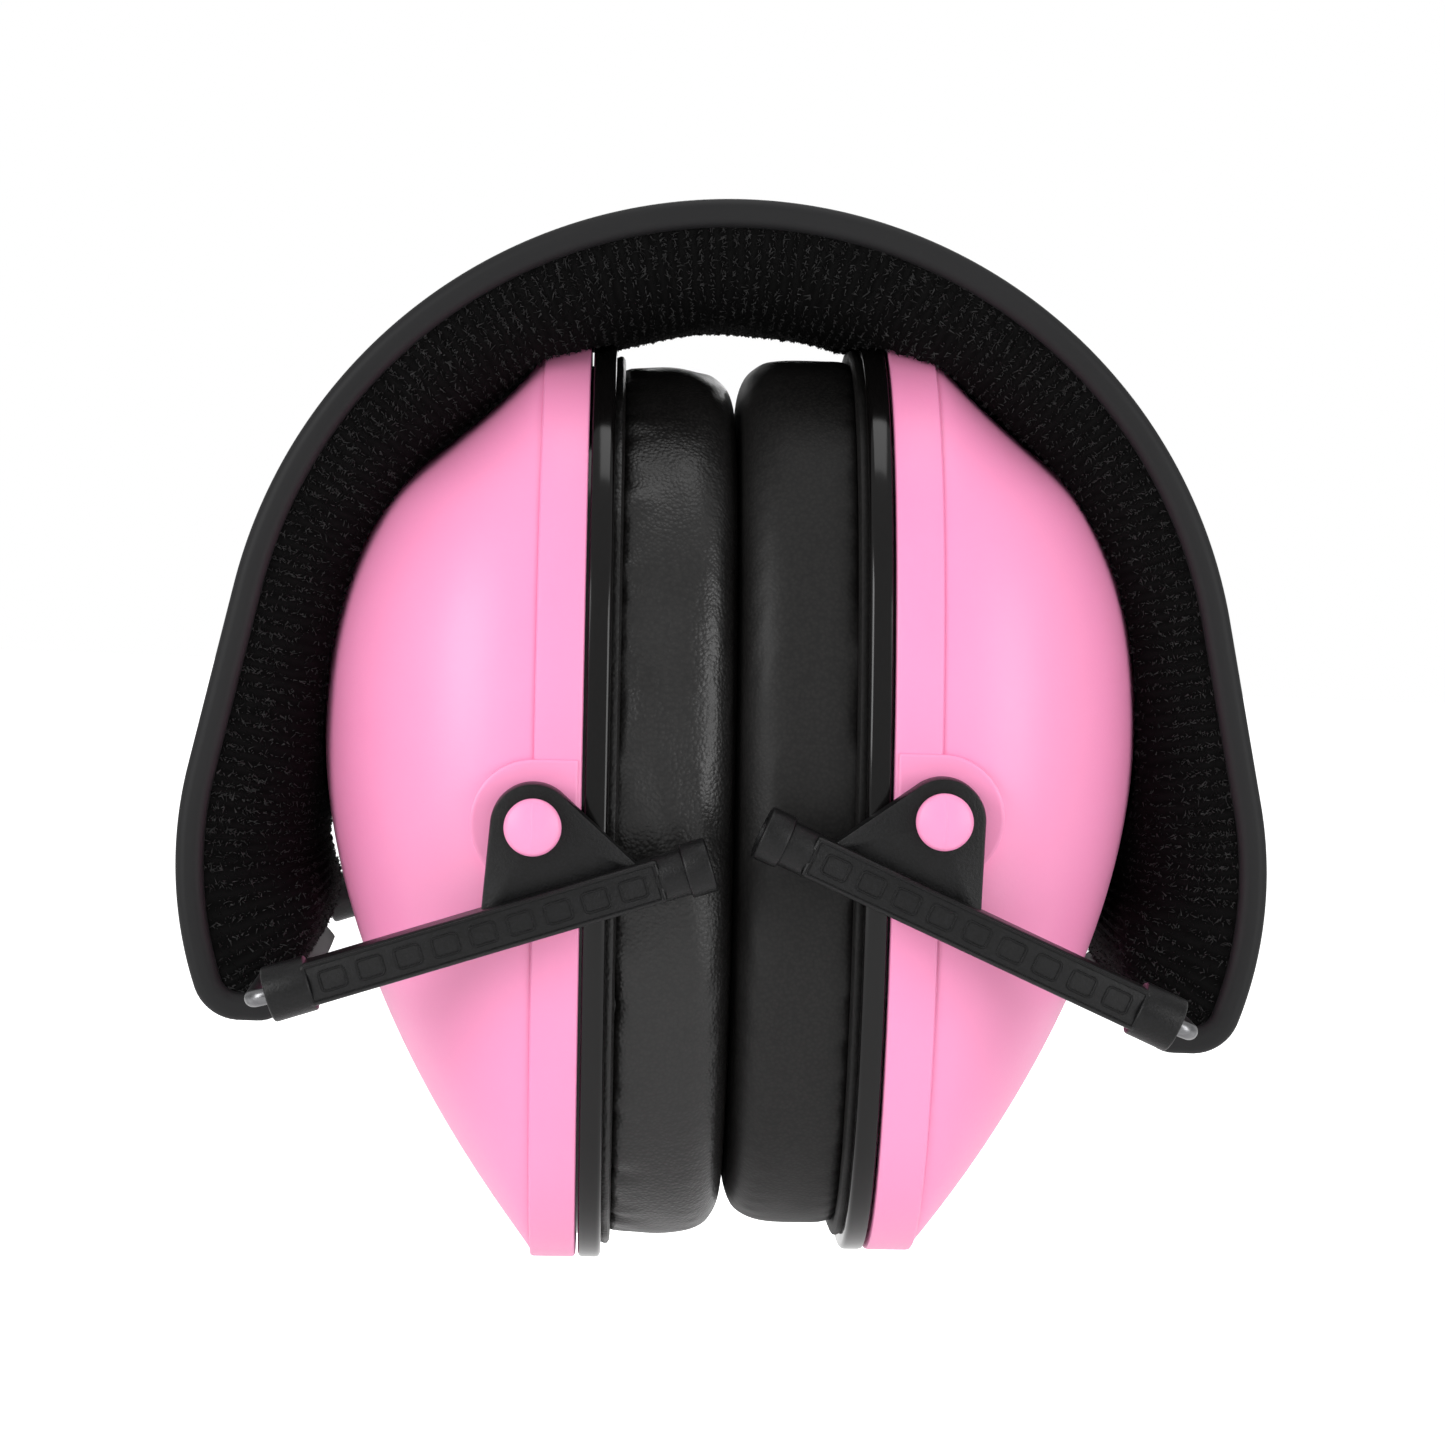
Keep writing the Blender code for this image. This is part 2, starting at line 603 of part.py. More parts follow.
def wire_path(pivot_along):
    """One leg of the wire from its tip to the middle of the cross-bar: (along, y, radius)."""
    tip = pivot_along + PIVOT_OUT - BAR_TIP_INSET - COLLAR_LENGTH
    path = [(tip, BAR_CENTRE, SWAGE_RADIUS), (tip - SWAGE_LENGTH, BAR_CENTRE, SWAGE_RADIUS),
            (tip - SWAGE_LENGTH - GAP, BAR_CENTRE, WIRE_RADIUS)]
    for i in range(BEND_STEPS + 1):
        angle = math.pi / 2 * i / BEND_STEPS
        along = WIRE_BEND * (1 - math.sin(angle))
        path.append((along, BAR_CENTRE - WIRE_BEND * (1 - math.cos(angle)), WIRE_RADIUS))
    return path


def wire(side_name, pivot_along, parent, look):
    """U-shaped steel wire: a cross-bar through the headband's end and a leg in each yoke bar."""
    side = SIDES[side_name]
    half = wire_path(pivot_along)
    path = half + [(along, -y, radius) for along, y, radius in reversed(half)]
    points = [Vector((-side * along, y, 0)) for along, y, _ in path]
    rings = []
    for i, point in enumerate(points):
        before, after = points[max(0, i - 1)], points[min(len(points) - 1, i + 1)]
        heading = (after - before).normalized()
        across = heading.cross(Vector((0, 0, 1)))
        angles = [2 * math.pi * k / ROUND_SIDES for k in range(ROUND_SIDES)]
        radius = path[i][2]
        circle = [math.cos(a) * across + math.sin(a) * Vector((0, 0, 1)) for a in angles]
        rings.append([point + radius * spoke for spoke in circle])
    loft(f"{side_name}_wire", rings, look, parent)


def arm(side_name):
    side = SIDES[side_name]
    pivot_along, angle = bar_reach(side_name)
    hinge = hinge_point(side)
    axis = empty(f"{side_name}_fold_axis", (hinge.x, 0, hinge.y), side * angle)
    steel = material("wire_steel", (0.5, 0.5, 0.5), 0.28, 1.0)
    nylon = material("black_nylon", (0.012, 0.012, 0.013), 0.5)
    wire(side_name, pivot_along, axis, steel)
    for face_name in FACES:
        yoke(side_name, face_name, pivot_along, axis, nylon)


clear_scene()
headband()
for name in SIDES:
    cup(name)
    arm(name)
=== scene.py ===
# %% [markdown]
# # A folding earmuff hearing protector
# The measured model comes in first, as a fixed frame of rigid bodies joined by hinges and slides.
# Everything below is a finer skin for one of its parts. Each skin rides on the body that it
# belongs to, so the arms can still fold. Sizes are in millimetres and turn to metres once,
# where a mesh is made.

# %% Load the frame
import json
import math

import bpy
import numpy as np
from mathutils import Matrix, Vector
from mathutils.bvhtree import BVHTree


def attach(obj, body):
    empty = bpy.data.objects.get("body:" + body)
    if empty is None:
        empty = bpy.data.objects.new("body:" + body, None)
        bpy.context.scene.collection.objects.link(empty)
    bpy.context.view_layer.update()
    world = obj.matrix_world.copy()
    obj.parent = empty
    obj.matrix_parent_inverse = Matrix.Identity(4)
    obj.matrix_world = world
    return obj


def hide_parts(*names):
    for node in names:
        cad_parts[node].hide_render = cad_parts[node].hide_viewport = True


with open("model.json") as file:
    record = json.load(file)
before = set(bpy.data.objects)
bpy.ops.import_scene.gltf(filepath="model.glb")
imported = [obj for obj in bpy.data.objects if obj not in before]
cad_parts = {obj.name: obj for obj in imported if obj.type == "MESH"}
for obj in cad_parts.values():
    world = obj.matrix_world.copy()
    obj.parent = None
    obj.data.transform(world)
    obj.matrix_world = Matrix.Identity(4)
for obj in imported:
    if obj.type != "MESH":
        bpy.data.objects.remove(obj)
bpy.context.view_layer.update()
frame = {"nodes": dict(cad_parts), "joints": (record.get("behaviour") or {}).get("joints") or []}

MM = 0.001
SIDES = {"left": -1, "right": 1}
FACES = {"front": -1, "rear": 1}
joints = {joint["name"]: joint for joint in frame["joints"]}


def joint_place(name):
    """Where a joint's axis passes, in metres."""
    return np.array(joints[name]["pos_m"])


# %% [markdown]
# ## From arrays to pieces
# Each new piece is a grid of points: rows along it, columns round it. A grid can be worked out
# in one numpy expression, and its faces follow from its shape alone. The sign of the volume
# says whether the faces point out, so no piece can end up inside out.

# %% Grids and pieces
SHARP_ANGLE = math.radians(38)
random = np.random.default_rng(7)


def full_turn(count):
    """Angles evenly spread round a circle, with the start not repeated at the end."""
    return np.linspace(0, 2 * math.pi, count, endpoint=False)


def circle(angles):
    """Unit circle points, cosine and sine."""
    return np.stack([np.cos(angles), np.sin(angles)], -1)


def signed_volume(vertices, triangles):
    """Six times the volume inside: the sum of each triangle's triple product."""
    a, b, c = (vertices[triangles[:, corner]] for corner in range(3))
    return (np.cross(a, b) * c).sum()


def grid_solid(points, ring=False):
    """Vertices and face arrays for rows x columns points. Columns close round; rows close too
    if ring is set, and otherwise a fan to the middle of the first and last row caps each end."""
    rows, columns, _ = points.shape
    vertices = points.reshape(-1, 3)
    index = np.arange(rows * columns).reshape(rows, columns)
    below = index if ring else index[:-1]
    above = np.roll(index, -1, axis=0) if ring else index[1:]
    quads = np.stack([below, np.roll(below, -1, 1), np.roll(above, -1, 1), above], -1).reshape(-1, 4)
    halves = [quads[:, [0, 1, 2]], quads[:, [0, 2, 3]]]
    faces = [quads]
    if not ring:
        count = len(vertices)
        vertices = np.vstack([vertices, points[0].mean(0), points[-1].mean(0)])
        first, last = index[0], index[-1]
        caps = [np.stack([np.roll(first, -1), first, np.full(columns, count)], -1),
                np.stack([last, np.roll(last, -1), np.full(columns, count + 1)], -1)]
        faces += caps
        halves += caps
    if signed_volume(vertices, np.vstack(halves)) < 0:
        faces = [array[:, ::-1] for array in faces]
    return vertices, faces


def make_piece(name, parts, flow=None):
    """One mesh object from (vertices, face arrays) parts; flow holds a 2-D place per vertex."""
    faces, start = [], 0
    for part_vertices, part_faces in parts:
        for array in part_faces:
            faces += (array + start).tolist()
        start += len(part_vertices)
    mesh = bpy.data.meshes.new(name)
    mesh.from_pydata((np.vstack([part[0] for part in parts]) * MM).tolist(), [], faces)
    mesh.shade_smooth()
    mesh.set_sharp_from_angle(angle=SHARP_ANGLE)
    if flow is not None:
        layer = mesh.attributes.new("flow", "FLOAT2", "POINT")
        layer.data.foreach_set("vector", np.asarray(flow, np.float32).ravel())
    piece = bpy.data.objects.new(name, mesh)
    bpy.context.scene.collection.objects.link(piece)
    return piece


def fit(piece, body, material, replaces=()):
    """Gives a piece its finish, its body and the plain parts that it stands for."""
    piece.data.materials.clear()
    piece.data.materials.append(material)
    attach(piece, body)
    if replaces:
        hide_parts(*replaces)
    print("made", piece.name, len(piece.data.polygons), "faces")
    return piece


# %% [markdown]
# ## Finishes
# A colour is written as the hex value that a screen shows, and one function turns it to the
# linear light that the renderer adds up. A pattern's scale is one over its real size.

# %% Colour, scale and nodes
def linear(hex_colour):
    """sRGB hex text to linear RGBA: the standard two-part curve."""
    channels = [int(hex_colour[i:i + 2], 16) / 255 for i in (1, 3, 5)]
    return tuple(c / 12.92 if c <= 0.04045 else ((c + 0.055) / 1.055) ** 2.4 for c in channels) + (1.0,)


def per_size(millimetres):
    """Pattern scale for cells of this size on coordinates in metres."""
    return 1 / (millimetres * MM)


def add(tree, kind, attrs=None, **inputs):
    """Adds one shader node. inputs are socket names, or s0, s1 for the first and second;
    a value that is a socket is linked, and any other is set."""
    made = tree.nodes.new("ShaderNode" + kind)
    for key, value in (attrs or {}).items():
        setattr(made, key, value)
    for key, value in inputs.items():
        numbered = key[0] == "s" and key[1:].isdigit()
        socket = made.inputs[int(key[1:]) if numbered else key.replace("_", " ")]
        if isinstance(value, bpy.types.NodeSocket):
            tree.links.new(value, socket)
        else:
            socket.default_value = value
    return made


def finish_named(name, **shader_values):
    """A material with its Principled shader set; returns the material, its tree, the shader
    and the object's own coordinates, on which its patterns lie."""
    material = bpy.data.materials.new(name)
    material.use_nodes = True
    tree = material.node_tree
    shader = tree.nodes["Principled BSDF"]
    for key, value in shader_values.items():
        shader.inputs[key.replace("_", " ")].default_value = value
    return material, tree, shader, add(tree, "TexCoord").outputs["Object"]


def feed(tree, shader, **sockets):
    """Links sockets to the shader's inputs by name."""
    for key, socket in sockets.items():
        tree.links.new(socket, shader.inputs[key.replace("_", " ")])


def mix_colours(tree, factor, first, second):
    """Mixes two colours; factor is a socket."""
    mixed = add(tree, "Mix", {"data_type": "RGBA"}, s0=factor, s6=first, s7=second)
    return mixed.outputs[2]


def between(tree, value, low, high, source=(0.0, 1.0)):
    """Maps a socket from the source range to low..high."""
    mapped = add(tree, "MapRange", s0=value)
    for socket, number in zip(mapped.inputs[1:5], (*source, low, high)):
        socket.default_value = number
    return mapped.outputs[0]


# %% [markdown]
# ### Pink ABS
# The cups are moulded ABS with a fine spark-eroded grain, so highlights are satin and slightly
# broken up. A faint slow change of colour keeps the big surfaces from looking computed.

# %% Pink ABS
def pink_abs():
    material, tree, shader, place = finish_named("pink_abs_spark_grain", Roughness=0.4, IOR=1.5)
    grain = add(tree, "TexNoise", Vector=place, Scale=per_size(0.55), Detail=3.0, Roughness=0.6)
    slow = add(tree, "TexNoise", Vector=place, Scale=per_size(28), Detail=2.0)
    colour = mix_colours(tree, slow.outputs["Fac"], linear("#F590BE"), linear("#FA9DC7"))
    roughness = between(tree, grain.outputs["Fac"], 0.34, 0.48)
    bump = add(tree, "Bump", Height=grain.outputs["Fac"], Strength=0.35, Distance=0.05 * MM)
    feed(tree, shader, Base_Color=colour, Roughness=roughness, Normal=bump.outputs[0])
    shader.inputs["Subsurface Weight"].default_value = 0.06
    shader.inputs["Subsurface Radius"].default_value = (1.5 * MM, 0.7 * MM, 0.9 * MM)
    shader.inputs["Subsurface Scale"].default_value = 1.0
    return material


PINK = pink_abs()

# %% [markdown]
# ### Polished black ABS
# The seal plates come from a polished mould: a near mirror with hair-fine handling scratches.

# %% Polished black ABS
def polished_abs():
    material, tree, shader, place = finish_named("black_abs_polished", IOR=1.5, Specular_IOR_Level=0.34)
    smear = add(tree, "TexNoise", Vector=place, Scale=per_size(9), Detail=3.0)
    stretched = add(tree, "Mapping", Vector=place, Scale=(1.0, 0.08, 1.0))
    scratches = add(tree, "TexNoise", Vector=stretched.outputs[0], Scale=per_size(0.5), Detail=4.0)
    roughness = between(tree, smear.outputs["Fac"], 0.07, 0.2)
    colour = mix_colours(tree, scratches.outputs["Fac"], linear("#060505"), linear("#0d0c0c"))
    bump = add(tree, "Bump", Height=scratches.outputs["Fac"], Strength=0.06, Distance=0.02 * MM)
    feed(tree, shader, Base_Color=colour, Roughness=roughness, Normal=bump.outputs[0])
    return material


GLOSS = polished_abs()

# %% [markdown]
# ### Textured nylon
# The yoke bars are glass-filled nylon: a dull black with a coarse spark texture. Its peaks are
# painted lighter, a painted fine sparkle, on top of the real light that its bump catches.

# %% Textured nylon
def spark_nylon():
    material, tree, shader, place = finish_named("black_nylon_spark", IOR=1.53, Specular_IOR_Level=0.28)
    pits = add(tree, "TexNoise", Vector=place, Scale=per_size(0.28), Detail=4.0, Roughness=0.7)
    wear = add(tree, "TexNoise", Vector=place, Scale=per_size(5), Detail=3.0)
    painted_sparkle_peaks = between(tree, pits.outputs["Fac"], 0.0, 1.0, (0.42, 0.68))
    # painted sparkle: the base colour is lighter on the peaks of the spark texture
    colour = mix_colours(tree, painted_sparkle_peaks, linear("#040404"), linear("#101012"))
    roughness = between(tree, wear.outputs["Fac"], 0.28, 0.46)
    bump = add(tree, "Bump", Height=pits.outputs["Fac"], Strength=0.7, Distance=0.08 * MM)
    feed(tree, shader, Base_Color=colour, Roughness=roughness, Normal=bump.outputs[0])
    return material


NYLON = spark_nylon()

# %% [markdown]
# ### Leatherette
# Ear cushions are thin PVC leatherette over foam. The eye reads three things: a pebble grain
# of about half a millimetre, finer creases between the pebbles, and a broad soft shine.

# %% Leatherette
def leatherette(name, grain_height, smooth, dull, shine):
    """PVC skin: small irregular pebbles under finer creases, with painted shade darkening the valleys between
    the pebbles; smooth and dull bound its roughness.
    """
    material, tree, shader, place = finish_named(name, IOR=1.5, Specular_IOR_Level=shine)
    drift = add(tree, "TexNoise", Vector=place, Scale=per_size(3), Detail=2.0)
    bent = add(tree, "VectorMath", {"operation": "MULTIPLY_ADD"}, s0=drift.outputs["Color"], s2=place)
    bent.inputs[1].default_value = (0.5 * MM,) * 3
    pebbles = add(tree, "TexVoronoi", Vector=bent.outputs[0], Scale=per_size(0.42))
    ridge = between(tree, pebbles.outputs["Distance"], 1.0, 0.0, (0.1, 0.75))
    fine = add(tree, "TexNoise", Vector=place, Scale=per_size(0.25), Detail=3.0)
    slow = add(tree, "TexNoise", Vector=place, Scale=per_size(12), Detail=3.0)
    height = add(tree, "Math", {"operation": "MULTIPLY_ADD"}, s0=fine.outputs["Fac"], s1=0.5, s2=ridge)
    # painted shade: the colour is darker in the low borders between the pebbles
    colour = mix_colours(tree, ridge, linear("#0d0c0c"), linear("#181716"))
    roughness = between(tree, slow.outputs["Fac"], smooth, dull, (0.3, 0.7))
    bump = add(tree, "Bump", Height=height.outputs[0], Strength=grain_height, Distance=0.06 * MM)
    feed(tree, shader, Base_Color=colour, Roughness=roughness, Normal=bump.outputs[0])
    return material


WORN_SKIN = leatherette("black_leatherette_worn", 0.55, 0.30, 0.44, 0.5)
EVEN_SKIN = leatherette("black_leatherette_even", 0.22, 0.48, 0.6, 0.3)

# %% [markdown]
# ### Vinyl, plush, steel and foam
# The band's skin is a soft-touch vinyl: charcoal, even and nearly matte. The plush is drawn
# twice: a dark knitted ground, and real tufts that stand on it. Wire is drawn along its
# length, and foam is a mass of small open cells.

# %% Vinyl
def soft_vinyl():
    material, tree, shader, place = finish_named("charcoal_soft_vinyl", IOR=1.48, Specular_IOR_Level=0.25)
    grain = add(tree, "TexNoise", Vector=place, Scale=per_size(0.4), Detail=3.0, Roughness=0.65)
    slow = add(tree, "TexNoise", Vector=place, Scale=per_size(22), Detail=3.0)
    colour = mix_colours(tree, slow.outputs["Fac"], linear("#161617"), linear("#1e1e1f"))
    roughness = between(tree, slow.outputs["Fac"], 0.5, 0.64)
    bump = add(tree, "Bump", Height=grain.outputs["Fac"], Strength=0.3, Distance=0.04 * MM)
    feed(tree, shader, Base_Color=colour, Roughness=roughness, Normal=bump.outputs[0])
    return material


VINYL = soft_vinyl()


# %% Plush ground and tufts
WALE = 1.4
WALE_SCALE = per_size(WALE) * math.pi / 10  # a wave texture repeats every pi / 10


def knit_ground():
    """Dark knit with its wales across the band, read from the flow attribute; its colour is painted lighter
    on the wales and darker between them, painted shade in the grooves.
    """
    material, tree, shader, _ = finish_named("black_plush_ground", Roughness=0.95, IOR=1.45,
                                             Specular_IOR_Level=0.1)
    flow = add(tree, "Attribute", {"attribute_name": "flow"}).outputs["Vector"]
    wales = add(tree, "TexWave", {"bands_direction": "X"}, Vector=flow, Scale=WALE_SCALE, Distortion=1.5)
    wales.inputs["Detail Scale"].default_value = 2.0
    # painted shade: the colour is darker in the grooves between the wales
    colour = mix_colours(tree, wales.outputs["Fac"], linear("#030303"), linear("#090909"))
    bump = add(tree, "Bump", Height=wales.outputs["Fac"], Strength=0.5, Distance=0.3 * MM)
    feed(tree, shader, Base_Color=colour, Normal=bump.outputs[0])
    return material


def tuft_fibre():
    """Polyester pile: black, with a painted soft grey sheen, lighter on the rows of tufts and on clumps, and
    painted shade between them.
    """
    material, tree, shader, place = finish_named("black_plush_pile", Roughness=0.8, IOR=1.45,
                                                 Specular_IOR_Level=0.12)
    clump = add(tree, "TexNoise", Vector=place, Scale=per_size(0.9), Detail=2.0)
    # painted light and shade: clumps of pile are made lighter or darker at random
    shade = between(tree, clump.outputs["Fac"], 0.45, 1.0, (0.35, 0.72))
    flow = add(tree, "Attribute", {"attribute_name": "flow"}).outputs["Vector"]
    wales = add(tree, "TexWave", {"bands_direction": "X"}, Vector=flow, Scale=WALE_SCALE)
    # painted shade: darker between the rows of tufts, lighter on them
    rows = between(tree, wales.outputs["Fac"], 1.0, 0.0, (0.15, 0.7))
    painted_sheen = add(tree, "Math", {"operation": "MULTIPLY"}, s0=shade, s1=rows)
    # painted sheen: the colour goes from near black to grey by clump and by row
    colour = mix_colours(tree, painted_sheen.outputs[0], linear("#020202"), linear("#343434"))
    feed(tree, shader, Base_Color=colour)
    shader.inputs["Sheen Weight"].default_value = 0.02
    shader.inputs["Sheen Roughness"].default_value = 0.5
    return material


GROUND, PILE = knit_ground(), tuft_fibre()


# %% Steel and foam
def drawn_steel(name, dark, light, size):
    """Steel with fine lines from drawing or rolling; a metal's colour is its reflection."""
    material, tree, shader, place = finish_named(name, Metallic=1.0)
    lines = add(tree, "Mapping", Vector=place, Scale=(0.15, 1.0, 1.0))
    streak = add(tree, "TexNoise", Vector=lines.outputs[0], Scale=per_size(size), Detail=4.0)
    colour = mix_colours(tree, streak.outputs["Fac"], linear(dark), linear(light))
    roughness = between(tree, streak.outputs["Fac"], 0.2, 0.42)
    feed(tree, shader, Base_Color=colour, Roughness=roughness)
    return material


def open_foam():
    material, tree, shader, place = finish_named("grey_open_cell_foam", Roughness=0.95, IOR=1.45)
    cells = add(tree, "TexVoronoi", Vector=place, Scale=per_size(0.7))
    hollow = between(tree, cells.outputs["Distance"], 1.0, 0.0, (0.0, 0.6))
    # painted shade: the colour is darker at the low borders of the cells and lighter on their raised middles
    colour = mix_colours(tree, hollow, linear("#232326"), linear("#55555a"))
    bump = add(tree, "Bump", Height=hollow, Strength=0.9, Distance=0.4 * MM)
    feed(tree, shader, Base_Color=colour, Normal=bump.outputs[0])
    return material


STEEL = drawn_steel("spring_steel_wire_drawn", "#5f5f61", "#98989a", 0.4)
STRIP = drawn_steel("spring_steel_strip_rolled", "#6e6e70", "#a5a5a6", 0.6)
FOAM = open_foam()
print("finishes:", len(bpy.data.materials))

# %% [markdown]
# ## The headband's path
# Seen from the front the band is an arch, a straight side, a slow tuck inwards and a hooked
# end. All of these are arcs and lines that meet without a corner, so a place on the band is
# one number, the distance from the crown, and a depth under the outer face is that place
# moved in along its normal.

# %% Path of the band
BAND_BENDS = (  # straight run before, radius, sweep in degrees
    (0.0, 54.7, 77.6),
    (20.0, 44.0, 31.4),
    (0.0, 5.5, 71.0),
    (2.0, 4.0, 45.0),
)
BAND_LIP = 3.0
COVER_EDGE = 1.2
COVER_CROWN = 0.35
BAND_WIDTH = 50.0
COVER_THICKNESS = 3.0
ARCH_CENTRE = -42.2


def band_pieces():
    """Lines and arcs from the crown to the lip as (start, end, point, angle, radius)."""
    pieces, run, angle = [], 0.0, 0.0
    point = np.array([0.0, ARCH_CENTRE + BAND_BENDS[0][1]])
    for straight, radius, sweep in BAND_BENDS + ((BAND_LIP, 1.0, 0.0),):
        if straight:
            pieces.append((run, run + straight, point, angle, None))
            point = point + straight * np.array([math.cos(angle), -math.sin(angle)])
            run += straight
        if sweep:
            turn = math.radians(sweep)
            pieces.append((run, run + radius * turn, point, angle, radius))
            centre = point - radius * np.array([math.sin(angle), math.cos(angle)])
            angle += turn
            point = centre + radius * np.array([math.sin(angle), math.cos(angle)])
            run += radius * turn
    return pieces


BAND = band_pieces()
BAND_HALF = BAND[-1][1]


def band_place(distance):
    """Point (x, z) and outward normal on the outer face at signed distances from the crown."""
    reach = np.abs(distance)
    point = np.zeros(reach.shape + (2,))
    normal = np.zeros_like(point)
    for start, end, origin, angle, radius in BAND:
        on = (reach >= start - 1e-9) & (reach <= end + 1e-9)
        along = (reach - start)[..., None]
        if radius is None:
            heading = np.array([math.cos(angle), -math.sin(angle)])
            here, out = origin + along * heading, np.array([math.sin(angle), math.cos(angle)])
            out = np.broadcast_to(out, here.shape)
        else:
            turn = angle + along[..., 0] / radius
            out = np.stack([np.sin(turn), np.cos(turn)], -1)
            centre = origin - radius * np.array([math.sin(angle), math.cos(angle)])
            here = centre + radius * out
        point[on], normal[on] = here[on], out[on]
    flip = np.where(distance < 0, -1.0, 1.0)
    point[..., 0] *= flip
    normal[..., 0] *= flip
    return point, normal


def on_band(distance, depth, across):
    """World points, in mm, at distances along, depths under the outer face and across (y)."""
    point, normal = band_place(distance)
    spot = point - depth[..., None] * normal
    return np.stack([spot[..., 0], across * np.ones_like(distance), spot[..., 1]], -1)


print("half of the band is", round(BAND_HALF, 1), "mm long")

# %% [markdown]
# ## Headband cover
# The skin is one moulding, 3 mm thick, with rolled edges. A rounded rectangle carried along
# the path gives it in one grid. The outer face is crowned a little, as a moulded skin over a
# flat spring is.

# %% Headband cover
def rounded_section(width, height, radius, count):
    """Closed outline of a rectangle with round corners, evenly spread: (width, height) pairs."""
    turn = full_turn(count) + math.pi / count
    corner = np.stack([np.sign(np.cos(turn)) * (width / 2 - radius),
                       np.sign(np.sin(turn)) * (height / 2 - radius)], -1)
    return corner + radius * circle(turn)


def band_rows(last, step):
    return np.linspace(-last, last, int(2 * last / step) + 1)


def headband_cover():
    distance = band_rows(BAND_HALF, 0.7)
    outline = rounded_section(COVER_THICKNESS, BAND_WIDTH, COVER_EDGE, 48)
    flats = np.linspace(-1, 1, 15)[1:-1] * (BAND_WIDTH / 2 - COVER_EDGE)
    inner = outline[outline[:, 0] < 0]
    outer = outline[outline[:, 0] >= 0]
    outer = outer[np.argsort(outer[:, 1])]
    inner = inner[np.argsort(-inner[:, 1])]
    half = len(outer) // 2
    face = np.stack([np.full(len(flats), COVER_THICKNESS / 2), flats], -1)
    back = np.stack([np.full(len(flats), -COVER_THICKNESS / 2), flats[::-1]], -1)
    outline = np.vstack([outer[:half], face, outer[half:], inner[:half], back, inner[half:]])
    crown = COVER_CROWN * (1 - (outline[:, 1] / (BAND_WIDTH / 2)) ** 2) * (outline[:, 0] > 0)
    depth = COVER_THICKNESS / 2 - outline[:, 0] + COVER_CROWN - crown
    along, deep = np.meshgrid(distance, depth, indexing="ij")
    across = np.broadcast_to(outline[:, 1], along.shape)
    piece = make_piece("band_cover", [grid_solid(on_band(along, deep, across))])
    return fit(piece, "headband", VINYL, ["headband_cover"])


headband_cover()

# %% [markdown]
# ## Plush head pad
# The pad is a pillow: held flat along both edges and full in the middle. Where the folded cups
# press on it, it gives way. Rays from the pad towards the cups say how much room it has, on a
# coarse net that is then smoothed, because foam can't follow a sharp edge.

# %% Room for the pad
PAD_HALF_WIDTH = 23.9
PAD_EDGE = 3.2
PAD_FULL = 10.9
PAD_END_SWELL = 0.9
PAD_SWELL_START = 82
PAD_SPLIT = 104.8
PAD_CLEARANCE = 0.7
PAD_LEAST = 0.9


def room_under_band(distance, across):
    """Free depth in mm from the cover's inner face to the cups, on a net of rays."""
    names = [f"{side}_{part}" for side in SIDES for part in ("cup_shell", "seal_plate", "ear_cushion")]
    trees = []
    for name in names:
        mesh = frame["nodes"][name].data
        points = [v.co.copy() for v in mesh.vertices]
        trees.append(BVHTree.FromPolygons(points, [tuple(p.vertices) for p in mesh.polygons]))
    along, over = np.meshgrid(distance, across, indexing="ij")
    starts = on_band(along, np.full(along.shape, COVER_THICKNESS), over) * MM
    _, normals = band_place(along)
    free = np.full(along.shape, 40.0)
    for i, j in np.ndindex(along.shape):
        heading = Vector((-normals[i, j, 0], 0, -normals[i, j, 1]))
        hits = [tree.ray_cast(Vector(starts[i, j]), heading, 0.04)[3] for tree in trees]
        free[i, j] = min([hit / MM for hit in hits if hit is not None], default=40.0)
    return free


def smoothed(values, times):
    """Averages neighbours along both ways, with the edges held."""
    for _ in range(times):
        padded = np.pad(values, 1, mode="edge")
        values = (padded[1:-1, :-2] + padded[1:-1, 2:] + padded[:-2, 1:-1] + padded[2:, 1:-1]
                  + 2 * padded[1:-1, 1:-1]) / 6
    return values


def read_net(net, rows, columns):
    """Straight-line reading of the pad's net at distances along (rows) and across (columns)."""
    i = np.clip(np.interp(rows, NET_ROWS, np.arange(len(NET_ROWS))), 0, len(NET_ROWS) - 1.001)
    j = np.clip(np.interp(columns, NET_COLUMNS, np.arange(len(NET_COLUMNS))), 0, len(NET_COLUMNS) - 1.001)
    low_i, low_j = i.astype(int), j.astype(int)
    share_i, share_j = i - low_i, j - low_j
    first = net[low_i, low_j] * (1 - share_j) + net[low_i, low_j + 1] * share_j
    second = net[low_i + 1, low_j] * (1 - share_j) + net[low_i + 1, low_j + 1] * share_j
    return first * (1 - share_i) + second * share_i


NET_ROWS = np.linspace(-PAD_SPLIT, PAD_SPLIT, 121)
NET_COLUMNS = np.linspace(-PAD_HALF_WIDTH, PAD_HALF_WIDTH, 17)
pad_room = room_under_band(NET_ROWS, NET_COLUMNS)
pad_room = np.minimum(smoothed(np.minimum(pad_room, PAD_FULL + 3), 2), pad_room)
print("least room for the pad:", round(float(pad_room.min()), 1), "mm")

# %% [markdown]
# The cloth is a knit whose wales cross the band every 1.4 mm, as low ribs. At each end the pad
# fills the hook: its back follows the cover round the corner while its face swings in a
# Bezier curve to the lip, and its section grows from a pillow to a box, which hides the block.

# %% Shape of the pad
PAD_END_RUN = 17.0
PAD_END_PULLS = ((-0.9, -4.0), (-1.2, -9.4))
PAD_END_TIP = (46.3, -73.4)


def pillow(across, squareness=0.0):
    """Share of the pad's full height: (1 - share^p)^q over a low edge, from pillow to box."""
    share = np.clip(np.abs(across) / PAD_HALF_WIDTH, 0, 1)
    power = 2.6 + 7 * squareness
    low = PAD_EDGE / PAD_FULL
    crowned = low + (1 - low) * (1 - share ** power) ** (0.6 - 0.25 * squareness)
    return crowned * (1 - share ** 14) ** 0.5


